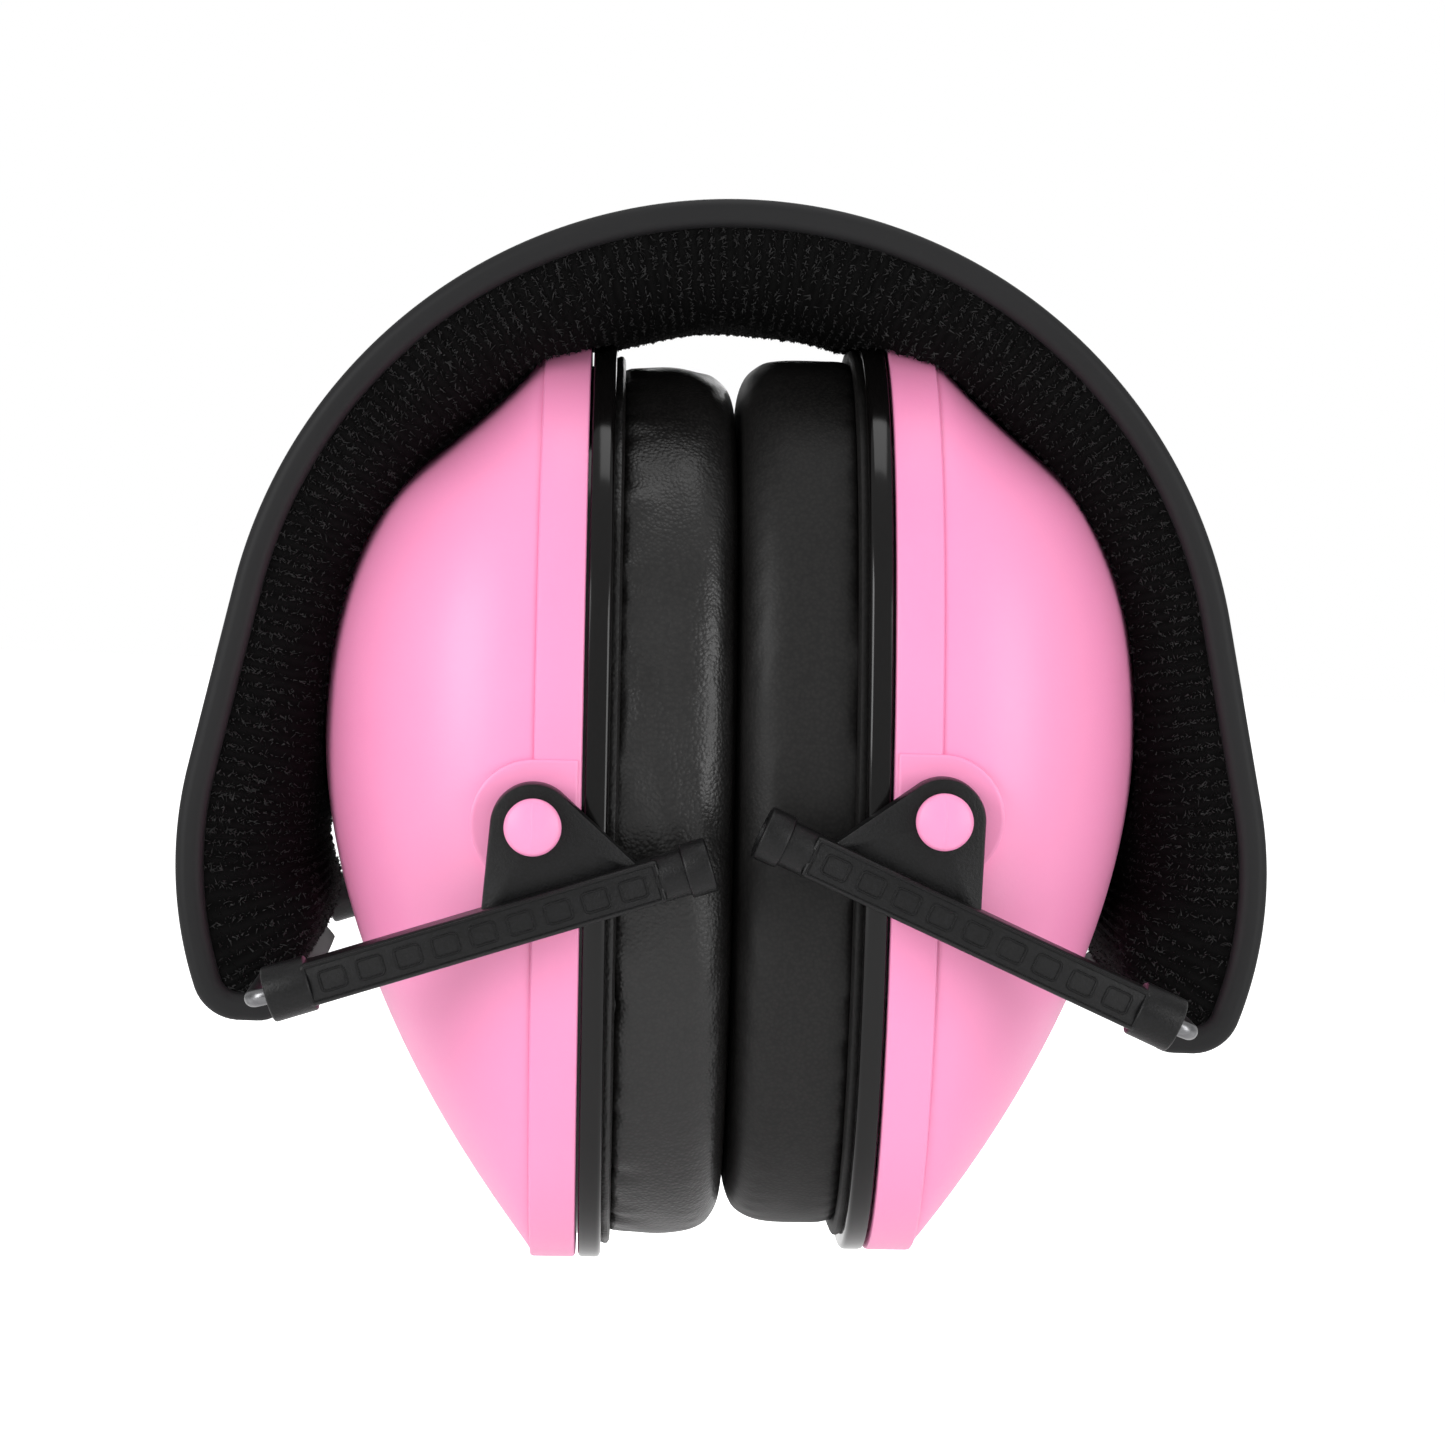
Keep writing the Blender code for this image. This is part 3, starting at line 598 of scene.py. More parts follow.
def pad_height(distance, across):
    """Height over the cover's inner face: the pillow, with ribs that fade to the middle,
    and less where the cups leave no room."""
    ribs = 0.16 * np.cos(2 * math.pi * distance / WALE) * np.abs(across) / PAD_HALF_WIDTH
    ribs = ribs + 0.1 * np.sin(0.37 * distance + 0.11 * across)
    swell = PAD_END_SWELL * np.clip((np.abs(distance) - PAD_SWELL_START) / 20, 0, 1)
    height = (PAD_FULL + swell + ribs) * pillow(across)
    return np.clip(height, 0, np.maximum(read_net(pad_room, distance, across) - PAD_CLEARANCE, PAD_LEAST))


def pad_end(turn):
    """Bezier face curve (x, z) from the split to the lip for turn from 0 to 1, right side."""
    place, normal = band_place(np.array([PAD_SPLIT]))
    start = place[0] - (COVER_THICKNESS + PAD_FULL + PAD_END_SWELL) * normal[0]
    points = [start] + [start + np.array(pull) for pull in PAD_END_PULLS] + [np.array(PAD_END_TIP)]
    weights = [(1 - turn) ** 3, 3 * turn * (1 - turn) ** 2, 3 * turn ** 2 * (1 - turn), turn ** 3]
    return sum(weight[..., None] * point for weight, point in zip(weights, points))


def pad_face(place, across, lift=0.0):
    """World points on the plush at places along the pad; |place| over PAD_SPLIT is an end."""
    reach, side = np.abs(place), np.where(place < 0, -1.0, 1.0)
    turn = np.clip((reach - PAD_SPLIT) / PAD_END_RUN, 0, 1)
    distance = side * np.where(turn > 0, PAD_SPLIT + turn * (BAND_HALF - PAD_SPLIT), reach)
    outer, normal = band_place(distance)
    foot = outer - COVER_THICKNESS * normal
    blend = np.clip(turn / 0.4, 0, 1)
    blend = blend * blend * (3 - 2 * blend)
    height = pad_height(side * np.minimum(reach, PAD_SPLIT), across)
    straight = foot - (height + lift)[..., None] * normal
    swing = pad_end(turn)
    swing[..., 0] *= side
    section = pillow(across) * (1 - blend) + pillow(across, 1.0) * blend
    ribs = 0.02 * np.cos(2 * math.pi * reach / WALE) * (1 - turn)
    curved = foot + (swing - foot) * (section * (1 + ribs) + lift / PAD_FULL)[..., None]
    spot = np.where((turn > 0)[..., None], curved, straight)
    return np.stack([spot[..., 0], across * np.ones_like(place), spot[..., 1]], -1), foot


# %% Head pad and its foam
CORE_HALF_WIDTH = PAD_HALF_WIDTH - 2.0
CORE_INSET = 1.5
CORE_BASE = COVER_THICKNESS + 1.3


def head_pad():
    rows = int(2 * (PAD_SPLIT + PAD_END_RUN) / (WALE / 4))
    place = np.linspace(-PAD_SPLIT - PAD_END_RUN, PAD_SPLIT + PAD_END_RUN, rows)
    along, over = np.meshgrid(place, -PAD_HALF_WIDTH * np.cos(np.linspace(0, math.pi, 49)), indexing="ij")
    top, foot = pad_face(along, over)
    back_over = np.linspace(1, -1, 7)[1:-1] * PAD_HALF_WIDTH
    back = np.empty((rows, 5, 3))
    back[..., 0], back[..., 2] = foot[:, :5, 0], foot[:, :5, 1]
    back[..., 1] = back_over
    flow = np.stack([np.concatenate([along, along[:, :5]], 1),
                     np.concatenate([over, np.broadcast_to(back_over, (rows, 5))], 1)], -1)
    flow = np.vstack([flow.reshape(-1, 2), [[place[0], 0], [place[-1], 0]]]) * MM
    piece = make_piece("band_pad", [grid_solid(np.concatenate([top, back], 1))], flow)
    return fit(piece, "headband", GROUND, ["headband_pad"])


def band_foam():
    """The core: the pad's own height less the cloth, a little narrower and shorter."""
    distance = band_rows(PAD_SPLIT - 1, 1.5)
    turn = np.linspace(0, math.pi, 25)
    along, over = np.meshgrid(distance, -CORE_HALF_WIDTH * np.cos(turn), indexing="ij")
    deep = COVER_THICKNESS + np.maximum(pad_height(along, over * 1.05) - CORE_INSET, CORE_INSET)
    deep[:, 0] = deep[:, -1] = CORE_BASE
    points = on_band(along, deep, over)
    flat = np.linspace(1, -1, 5)[1:-1] * CORE_HALF_WIDTH
    back_along, back_over = np.meshgrid(distance, flat, indexing="ij")
    back = on_band(back_along, np.full(back_along.shape, CORE_BASE), back_over)
    piece = make_piece("band_core", [grid_solid(np.concatenate([points, back], 1))])
    return fit(piece, "headband", FOAM, ["headband_foam"])


head_pad()
band_foam()

# %% [markdown]
# ### Pile
# Looped pile is what makes plush look like plush: it breaks the outline into fuzz and drinks
# the light. Each tuft is one slim three-sided spike, closed and only four faces, leaning its
# own way. Most stand on the ribs of the knit, so the wales show as rows of tufts.

# %% Pile on the pad
TUFTS = 49000
ON_RIBS = 0.6
TUFT_WIDTHS = (0.08, 0.14)
TUFT_ROOT = 0.25


def tuft_places():
    """Places along and across, gathered on the ribs; a quarter fringe the two long edges."""
    reach = PAD_SPLIT + PAD_END_RUN - 0.6
    along = random.uniform(-reach, reach, TUFTS)
    rib = np.round(along / WALE) * WALE + random.normal(0, 0.25, TUFTS)
    along = np.where(random.uniform(0, 1, TUFTS) < ON_RIBS, rib, along)
    turn = random.uniform(0.05, math.pi - 0.05, TUFTS)
    fringe = TUFTS // 8
    turn[:fringe] = random.uniform(0.02, 0.4, fringe)
    turn[fringe:2 * fringe] = math.pi - random.uniform(0.02, 0.4, fringe)
    return np.clip(along, -reach, reach), turn


def pile():
    """Foot points from the pad's own formula, and the way out from its slope there."""
    along, turn = tuft_places()

    def surface(place, angle):
        return pad_face(place, -PAD_HALF_WIDTH * np.cos(angle))[0]

    foot = surface(along, turn)
    slope_along = surface(along + WALE, turn) - surface(along - WALE, turn)
    ahead, behind = np.clip(turn + 0.02, 0, math.pi), np.clip(turn - 0.02, 0, math.pi)
    slope_across = surface(along, ahead) - surface(along, behind)
    normal = np.cross(slope_across, slope_along)
    normal /= np.linalg.norm(normal, axis=1, keepdims=True) + 1e-9
    heading = normal + random.normal(0, 0.7, (TUFTS, 3))
    heading /= np.linalg.norm(heading, axis=1, keepdims=True)
    rib = 0.5 + 0.5 * np.cos(2 * math.pi * along / WALE)
    edge = np.clip(2.2 * np.abs(np.cos(turn)) - 1.1, 0, 1)
    length = random.uniform(0.12, 0.28 + 0.52 * edge, TUFTS) * (0.8 + 0.2 * rib)
    room = read_net(pad_room, along, -PAD_HALF_WIDTH * np.cos(turn))
    length = np.where((room < PAD_FULL + 0.8) & (np.abs(along) < PAD_SPLIT), np.minimum(length, 0.5), length)
    side = np.cross(heading, random.normal(0, 1, (TUFTS, 3)))
    side /= np.linalg.norm(side, axis=1, keepdims=True)
    other = np.cross(heading, side)
    width = random.uniform(*TUFT_WIDTHS, TUFTS)[:, None]
    base = foot - TUFT_ROOT * heading
    corners = [base + width * (math.cos(a) * side + math.sin(a) * other)
               for a in (0, 2 * math.pi / 3, 4 * math.pi / 3)]
    tip = foot + length[:, None] * heading
    vertices = np.stack(corners + [tip], axis=1).reshape(-1, 3)
    spike = np.array([[0, 2, 1], [0, 1, 3], [1, 2, 3], [2, 0, 3]])
    faces = (spike[None] + 4 * np.arange(TUFTS)[:, None, None]).reshape(-1, 3)
    flow = np.repeat(np.stack([along, turn], axis=1), 4, axis=0) * MM
    piece = make_piece("band_pile", [(vertices, [faces])], flow)
    return fit(piece, "headband", PILE)


pile()

# %% [markdown]
# ## Cups
# A cup is a height over an oval foot. Its profile, seen from the front, has a long round tail,
# a brow above the middle and a hollow scoop at the top that clears the headband's end. Each
# row across is rounded off towards the sides. Because it is a formula, the same code gives the
# outer skin, the inner skin and both sides.

# %% Cup frame and profile
CUP_LEAN = math.radians(1.07)
CUP_WIDTH = 78.0
CUP_HEIGHT = 102.5
OVAL_POWER = 2.3
PIVOT_OUT = 21.0
PIVOT_ABOVE_CENTRE = 0.85
RIM_BASE = 16.1
RIM_TOP = 21.0
CUP_REACH = 45.0
CUP_WALL = 2.2


def in_cup(side_name, out, y, z):
    """Cup measures (out from the meeting plane, y, z from the cup's centre) to world mm."""
    side = SIDES[side_name]
    pivot = joint_place(f"{side_name}_cup_pivot") / MM
    across = side * (out - PIVOT_OUT)
    up = z - PIVOT_ABOVE_CENTRE
    x = pivot[0] + across * math.cos(CUP_LEAN) - up * math.sin(CUP_LEAN)
    height = pivot[2] + across * math.sin(CUP_LEAN) + up * math.cos(CUP_LEAN)
    return np.stack([x, y * np.ones_like(x), height], -1)


def oval(count):
    """Unit superellipse: cosine and sine scaled so that |y|^n + |z|^n = 1."""
    turn = full_turn(count)
    y, z = np.cos(turn), np.sin(turn)
    reach = (np.abs(y) ** OVAL_POWER + np.abs(z) ** OVAL_POWER) ** (-1 / OVAL_POWER)
    return reach * y, reach * z


BROW = 0.17
TAIL_RUN, TAIL_POWER, BROW_POWER = 1.14, 1.9, 2.6
SCOOP_DEPTH, SCOOP_RUN, SCOOP_POWER = 0.6625, 0.295, 1.35
SCOOP_BLEND = 28


def dome_profile(height):
    """Share of the dome's depth at heights from -1 to 1; the brow and the scoop blend with a
    soft minimum, so their meeting line is rounded."""
    tail = 1 - (np.clip(BROW - height, 0, None) / TAIL_RUN) ** TAIL_POWER
    brow = 1 - (np.clip(height - BROW, 0, None) / (1 - BROW)) ** BROW_POWER
    scoop = SCOOP_DEPTH * (np.clip(1 - height, 0, None) / SCOOP_RUN) ** SCOOP_POWER
    nearer = np.exp(-SCOOP_BLEND * brow) + np.exp(-SCOOP_BLEND * np.minimum(scoop, 3))
    return np.clip(np.where(height < BROW, tail, -np.log(nearer) / SCOOP_BLEND), 0, None)


def dome_rows(inset, reach, spreads, count):
    """Dome points (out, y, z) for foot shares from 1 at the edge to 0 in the middle."""
    half_width, half_height = CUP_WIDTH / 2 - inset, CUP_HEIGHT / 2 - inset
    unit_y, unit_z = oval(count)
    y = spreads[:, None] * unit_y * half_width
    z = spreads[:, None] * unit_z * half_height
    height = z / half_height
    side = half_width * np.clip(1 - np.abs(height) ** OVAL_POWER, 1e-9, 1) ** (1 / OVAL_POWER)
    across = np.clip(np.abs(y) / side, 0, 1)
    round_off = (1 - across ** 2.6) ** 0.5
    return RIM_TOP + (reach - RIM_TOP) * dome_profile(height) * round_off, y, z


def level_rows(outline, count, width=CUP_WIDTH, height=CUP_HEIGHT):
    """Rows (out, y, z) for an outline of (out, inset) pairs carried round an oval."""
    unit_y, unit_z = oval(count)
    outline = np.asarray(outline, float)
    out = np.repeat(outline[:, :1], count, axis=1)
    y = (width / 2 - outline[:, 1:2]) * unit_y
    z = (height / 2 - outline[:, 1:2]) * unit_z
    return out, y, z


def oval_ring(side_name, outline, count, width=CUP_WIDTH, height=CUP_HEIGHT):
    """Closed ring: an outline of (out, inset) pairs carried round an oval of this size."""
    return grid_solid(in_cup(side_name, *level_rows(outline, count, width, height)), ring=True)


# %% [markdown]
# The rim is a smooth band that stands 0.5 mm proud of the dome's foot, which gives the thin
# step line that runs round each cup.

# %% Cup shells
CUP_COLUMNS = 224
RIM_STEP = 0.45


def cup_shell(side_name):
    spread = np.cos(np.linspace(0, math.pi / 2, 76)[:-1])
    outer = dome_rows(RIM_STEP, CUP_REACH, spread, CUP_COLUMNS)
    rim = [(RIM_TOP - 0.05, RIM_STEP + 0.02), (RIM_TOP + 0.12, RIM_STEP - 0.05)]
    rim += [(RIM_TOP + 0.1, 0.22), (RIM_TOP - 0.05, 0.05), (RIM_TOP - 0.35, 0)]
    rim += [(RIM_BASE + 0.4, 0), (RIM_BASE + 0.12, 0.1)]
    rim += [(RIM_BASE, 0.35), (RIM_BASE, CUP_WALL), (RIM_TOP, CUP_WALL)]
    inner = dome_rows(CUP_WALL, CUP_REACH - CUP_WALL, spread[2::5], CUP_COLUMNS)
    level = level_rows(rim, CUP_COLUMNS)
    rows = [np.vstack([outer[i][::-1], level[i], inner[i]]) for i in range(3)]
    piece = make_piece(f"{side_name}_cup", [grid_solid(in_cup(side_name, *rows))])
    return fit(piece, f"{side_name}_cup", PINK, [f"{side_name}_cup_shell"])


for name in SIDES:
    cup_shell(name)

# %% [markdown]
# ### Bosses
# Round each pivot the cup has a flat landing for the yoke's eye: straight back to the rim and
# round about the pin, with a fine edge where it meets the dome.

# %% Pivot bosses
BOSS_RADIUS = 6.6
BOSS_FACE = 39.0
BOSS_ROOT = 35.5


def stacked(outline, levels, place):
    """A slab from a closed outline of (x, z), carried through (y, inset) levels; the inset
    pulls each point towards the outline's middle by that many mm."""
    middle = outline.mean(0)
    away = outline - middle
    away = away / np.linalg.norm(away, axis=1, keepdims=True)
    rings = [place(*(outline - inset * away).T, y) for y, inset in levels]
    return grid_solid(np.stack(rings))


def boss(side_name, face_name):
    side, face = SIDES[side_name], FACES[face_name]
    turn = np.linspace(-math.pi / 2, math.pi / 2, 33)
    arc = BOSS_RADIUS * circle(turn)
    back = np.linspace(0, RIM_BASE + 0.4 - PIVOT_OUT, 6)[1:]
    top = np.stack([back, np.full(5, BOSS_RADIUS)], -1)
    bottom = np.stack([back[::-1], np.full(5, -BOSS_RADIUS)], -1)
    outline = np.vstack([arc, top, bottom])
    edge = [(0, 0.05), (0.08, 0.2), (0.1, 0.5)]
    levels = [(BOSS_ROOT, 0), (BOSS_FACE - 0.2, 0)] + [(BOSS_FACE + rise, inset) for rise, inset in edge]
    return stacked(outline, levels, lambda x, z, y: in_cup(
        side_name, PIVOT_OUT + x, np.full_like(x, face * y), z + PIVOT_ABOVE_CENTRE))


for name in SIDES:
    bosses = make_piece(f"{name}_bosses", [boss(name, face) for face in FACES])
    fit(bosses, f"{name}_cup", PINK)

# %% [markdown]
# ### Pivot pins
# The pin's head is a low dome with a chamfer and the faint line that a two-part mould leaves.
# A turned profile gives it, and the line is a ridge a few hundredths high.

# %% Pivot pins
PIN_HEAD = 42.5
PIN_EDGE = PIN_HEAD + 1.1
PIN_RADIUS = 2.95
PIN_PROFILE = ((35.0, 1.4), (42.4, 1.5), (PIN_HEAD, 2.6), (PIN_HEAD + 0.15, 2.9), (PIN_EDGE, PIN_RADIUS))


def pin(side_name, face_name):
    """Dome over a profile of (y, radius); the cap's height falls off as radius squared."""
    face = FACES[face_name]
    radii = np.linspace(PIN_RADIUS, 0.05, 44)
    edge = np.clip((radii - 2.5) / 0.45, 0, 1)
    cap = PIN_EDGE + 0.75 * (1 - (radii / PIN_RADIUS) ** 2) + 0.3 * np.sqrt(1 - edge ** 2) - 0.05
    profile = np.vstack([np.array(PIN_PROFILE), np.stack([cap, radii], -1)[1:]])
    turn = full_turn(96)
    x = profile[:, 1:] * np.cos(turn)
    z = profile[:, 1:] * np.sin(turn)
    y = np.repeat(profile[:, :1], len(turn), 1)
    y = y + 0.05 * np.exp(-(x / 0.13) ** 2) * (y > PIN_HEAD + 1.2)
    return grid_solid(in_cup(side_name, PIVOT_OUT + x, face * y, z + PIVOT_ABOVE_CENTRE))


for name in SIDES:
    for face in FACES:
        piece = make_piece(f"{name}_{face}_pin_head", [pin(name, face)])
        fit(piece, f"{name}_cup", PINK, [f"{name}_{face}_pin"])

# %% [markdown]
# ### Seal plates
# The plate is a flat oval ring of polished black plastic between the cup and its cushion. Its
# edges have half-millimetre rounds, and those are what catch a line of light.

# %% Seal plates
PLATE_BASE = 13.3
PLATE_TOP = 15.8
LIP_INSET = 2.6
LIP_HEIGHT = 2.9
CUSHION_WIDTH = 73.5
CUSHION_HEIGHT = 97.8
CUSHION_RING = 18.5


def seal_plate(side_name):
    hole = (CUP_WIDTH - CUSHION_WIDTH) / 2 + CUSHION_RING - 1
    lip_top = PLATE_TOP + LIP_HEIGHT
    outline = [(PLATE_BASE, hole), (PLATE_BASE, 0.6), (PLATE_BASE + 0.08, 0.3), (PLATE_BASE + 0.3, 0.06)]
    outline += [(PLATE_BASE + 0.6, 0), (PLATE_TOP - 0.5, 0), (PLATE_TOP - 0.15, 0.1), (PLATE_TOP, 0.4)]
    outline += [(PLATE_TOP, LIP_INSET), (lip_top, LIP_INSET), (lip_top, LIP_INSET + 1.6)]
    outline += [(PLATE_TOP, LIP_INSET + 1.7), (PLATE_TOP, hole)]
    piece = make_piece(f"{side_name}_plate", [oval_ring(side_name, outline, CUP_COLUMNS)])
    return fit(piece, f"{side_name}_cup", GLOSS, [f"{side_name}_seal_plate"])


for name in SIDES:
    seal_plate(name)

# %% [markdown]
# ## Ear cushions
# A cushion is a skin blown out by the foam in it, so it is made that way: a slim ring, remeshed
# into even small faces, is inflated as cloth with gravity off while its back stays pinned to
# the plate. The cloth finds its own bulges and gathers, which no formula gives as well. A cap
# keeps any point from moving too far, and the other cushion stops the free face.

# %% Cushion before inflation
CUSHION_FREE = 0.03
CUSHION_BACK = 13.1


def cushion_section(slim, radius=4.6):
    """Closed outline (out, inset) of the ring, a rounded box that is slim mm narrower."""
    free, back = CUSHION_FREE + 0.1, CUSHION_BACK
    left, right = slim, CUSHION_RING - slim
    turn = np.linspace(0, math.pi / 2, 7)
    first = np.stack([free + radius * (1 - np.sin(turn)), left + radius * (1 - np.cos(turn))], -1)
    second = np.stack([free + radius * (1 - np.cos(turn)), right - radius * (1 - np.sin(turn))], -1)
    wall = np.linspace(back, free + radius, 9)[:-1]
    outer = np.stack([wall, np.full(8, left)], -1)
    inner = np.stack([wall[::-1], np.full(8, right)], -1)
    floor = np.stack([np.full(5, back), np.linspace(right, left, 7)[1:-1]], -1)
    top = np.stack([np.full(5, free), np.linspace(left + radius, right - radius, 7)[1:-1]], -1)
    return np.vstack([outer, first, top, second, inner, floor])


def raw_cushion(side_name, slim):
    ring = oval_ring(side_name, cushion_section(slim), 160, CUSHION_WIDTH, CUSHION_HEIGHT)
    return make_piece(f"{side_name}_cushion", [ring])


def cushion_core(side_name):
    """The foam ring in the skin, kept 2.4 mm inside it so that no fold lays it bare."""
    section = cushion_section(2.4, 3.0)
    section[:, 0] = np.clip(section[:, 0], 2.2, CUSHION_BACK - 1.2)
    ring = oval_ring(side_name, section, 96, CUSHION_WIDTH, CUSHION_HEIGHT)
    piece = make_piece(f"{side_name}_cushion_core", [ring])
    return fit(piece, f"{side_name}_cup", FOAM, [f"{side_name}_cushion_foam"])


for name in SIDES:
    cushion_core(name)

# %% Inflate as cloth
def coordinates(mesh):
    flat = np.empty(len(mesh.vertices) * 3, np.float32)
    mesh.vertices.foreach_get("co", flat)
    return flat.reshape(-1, 3).astype(float)


def out_of_cup(side_name, points):
    """Distance out of the cup in mm for world points in metres: in_cup undone."""
    side = SIDES[side_name]
    pivot = joint_place(f"{side_name}_cup_pivot")
    away = (points - pivot) / MM
    return PIVOT_OUT + side * (away[:, 0] * math.cos(CUP_LEAN) + away[:, 2] * math.sin(CUP_LEAN))


def evaluated_mesh(piece):
    graph = bpy.context.evaluated_depsgraph_get()
    return bpy.data.meshes.new_from_object(piece.evaluated_get(graph))


def inflate(piece, side_name, voxel, pressure, cap):
    """Remesh, blow up as cloth for 20 frames, cap the movement and keep the result."""
    remesh = piece.modifiers.new("even_faces", "REMESH")
    remesh.mode, remesh.voxel_size = "VOXEL", voxel * MM
    even = evaluated_mesh(piece)
    piece.modifiers.clear()
    piece.data = even
    start = coordinates(even)
    back = out_of_cup(side_name, start)
    pinned = piece.vertex_groups.new(name="pinned")
    weights = np.clip((back - (CUSHION_BACK - 2.2)) / 1.6, 0, 1)
    for index in np.flatnonzero(weights > 0.02):
        pinned.add([int(index)], float(weights[index]), "REPLACE")
    cloth = piece.modifiers.new("skin", "CLOTH")
    cloth.settings.use_pressure = True
    cloth.settings.uniform_pressure_force = pressure
    cloth.settings.effector_weights.gravity = 0
    cloth.settings.vertex_group_mass = "pinned"
    cloth.settings.quality = 6
    cloth.settings.mass = 0.2
    cloth.settings.tension_stiffness = cloth.settings.compression_stiffness = 12
    cloth.settings.bending_stiffness = 0.3
    scene = bpy.context.scene
    for number in range(1, 21):
        scene.frame_set(number)
    moved = coordinates(evaluated_mesh(piece))
    piece.modifiers.clear()
    step = moved - start
    size = np.linalg.norm(step, axis=1, keepdims=True)
    step *= np.minimum(1, cap * MM / np.maximum(size, 1e-9))
    even.vertices.foreach_set("co", (start + step).astype(np.float32).ravel())
    even.update()
    scene.frame_set(1)
    print("inflated", piece.name, "mean move", round(float(size.mean() / MM), 2), "mm")


# %% [markdown]
# Folded shut, the two free faces press flat on each other. Near the plate the skin is gathered
# into its weld, so it puckers: short folds that run out of the seam and die away. Each cushion
# gets its own folds and slow dents.

# %% Press, pucker and dent
FOLD_COUNTS = (23, 37, 58)
SLOW_DENTS = ((5, 0.3), (9, 0.6), (13, 0.9))  # waves round the cup, lean


def cup_angle(side_name, points):
    """Angle round the cup of world points in metres."""
    pivot = joint_place(f"{side_name}_cup_pivot")
    away = (points - pivot) / MM
    return np.arctan2((away[:, 2] + PIVOT_ABOVE_CENTRE) / CUP_HEIGHT, away[:, 1] / CUP_WIDTH)


def shape_skin(piece, side_name, seed, pucker, dent):
    """Pushes the skin along its normals by puckers near the weld and slow dents elsewhere,
    and holds it behind the meeting plane and in front of the plate."""
    mesh = piece.data
    points = coordinates(mesh)
    normals = np.empty(len(points) * 3, np.float32)
    mesh.vertices.foreach_get("normal", normals)
    normals = normals.reshape(-1, 3)
    out = out_of_cup(side_name, points)
    turn = cup_angle(side_name, points)
    waves = np.random.default_rng(seed)
    near = np.exp(-((CUSHION_BACK - 0.8 - out) / 2.4) ** 2)
    fold = np.zeros(len(points))
    for count in FOLD_COUNTS:
        size, phase = waves.uniform(0.5, 1), waves.uniform(0, 6.28)
        fold += size * np.sin(count * turn + phase + 0.12 * count * np.sin(3 * turn))
    slow = np.zeros(len(points))
    for count, tilt in SLOW_DENTS:
        slow += np.sin(count * turn + tilt * out + waves.uniform(0, 6.28)) / count ** 0.5
    middle = np.exp(-((out - 6.5) / 4.0) ** 2)
    push = (pucker * fold * near + dent * slow * middle) * MM
    points = points + normals * push[:, None]
    out = out_of_cup(side_name, points)
    side = SIDES[side_name]
    wanted = np.clip(out, CUSHION_FREE, CUSHION_BACK)
    heading = side * np.array([math.cos(CUP_LEAN), 0, math.sin(CUP_LEAN)])
    points += ((wanted - out) * MM)[:, None] * heading
    mesh.vertices.foreach_set("co", points.astype(np.float32).ravel())
    mesh.update()


def cushion(side_name, material, seed, pressure, pucker, dent):
    piece = raw_cushion(side_name, 0.5)
    inflate(piece, side_name, voxel=1.5, pressure=pressure, cap=0.9)
    finer = piece.modifiers.new("finer", "SUBSURF")
    finer.levels = finer.render_levels = 1
    smooth = evaluated_mesh(piece)
    piece.modifiers.clear()
    piece.data = smooth
    shape_skin(piece, side_name, seed, pucker, dent)
    piece.data.shade_smooth()
    return fit(piece, f"{side_name}_cup", material, [f"{side_name}_ear_cushion"])


cushion("left", WORN_SKIN, seed=3, pressure=4.0, pucker=0.14, dent=0.30)
cushion("right", EVEN_SKIN, seed=11, pressure=2.0, pucker=0.03, dent=0.05)

# %% [markdown]
# The weld itself is a narrow flange of doubled skin, pressed flat on the plate, with a small
# bead that shows as a line of tiny stitches of light.

# %% Weld flanges
WELD_BEADS = 260


def weld(side_name, material, bead):
    """Oval ring of small section; its height swells and pinches at every bead."""
    outline = [(PLATE_BASE + 0.05, 2.2), (PLATE_BASE + 0.05, -0.55), (12.9, -0.75), (12.6, -0.7)]
    outline += [(12.35, -0.35), (12.3, 0.3), (12.5, 1.2)]
    columns = 2 * WELD_BEADS
    out, y, z = level_rows(outline, columns, CUSHION_WIDTH, CUSHION_HEIGHT)
    turn = full_turn(columns)
    swell = 1 + bead * np.sin(WELD_BEADS * turn) * 0.004 + bead * 0.003 * np.sin(31 * turn)
    rows = (out, y * swell, z * swell)
    piece = make_piece(f"{side_name}_weld", [grid_solid(in_cup(side_name, *rows), ring=True)])
    return fit(piece, f"{side_name}_cup", material)


weld("left", WORN_SKIN, 0.8)
weld("right", EVEN_SKIN, 0.5)

# %% [markdown]
# ## Yokes
# A yoke is one nylon moulding: a hollow bar with a sleeve at its outer end and a collar at its
# inner end, and a triangular ear that rises to the pivot. Built from rounded slabs and turned
# rings, it keeps the small radii that a moulded part has everywhere.

# %% Yoke frame
BAR_CENTRE = 42.0
EAR_FACE = 39.3
EAR_THICKNESS = 2.9
EAR_HEIGHT = 8.9
EYE_RADIUS = 4.4
BAR_HEIGHT = 4.5
BAR_DEPTH = 4.8
SLEEVE_START = 1.7
SLEEVE_END = 5.8
BAR_END = PIVOT_OUT - 4.6  # past the pivot
COLLAR_LENGTH = 5.3
COLLAR_RING = 2.8
EAR_FEET = (-8.3, 10.1)


def arm_frame(side_name):
    """Fold axis point, heading along the bar, up from it, and the pivot's distance along."""
    fold = joint_place(f"{side_name}_fold") / MM
    pivot = joint_place(f"{side_name}_cup_pivot") / MM
    heading = np.array(joints[f"{side_name}_slide"]["axis"], float)
    up = np.array([-heading[2], 0, heading[0]])
    up = up * np.sign(up[2])
    return fold, heading, up, float((pivot - fold) @ heading)


def in_arm(side_name, along, y, up):
    """Arm measures (along the bar, y, up from its axis) to world mm."""
    fold, heading, rise, _ = arm_frame(side_name)
    along, y, up = np.broadcast_arrays(along, y, up)
    return fold + along[..., None] * heading + up[..., None] * rise + y[..., None] * np.array([0, 1.0, 0])


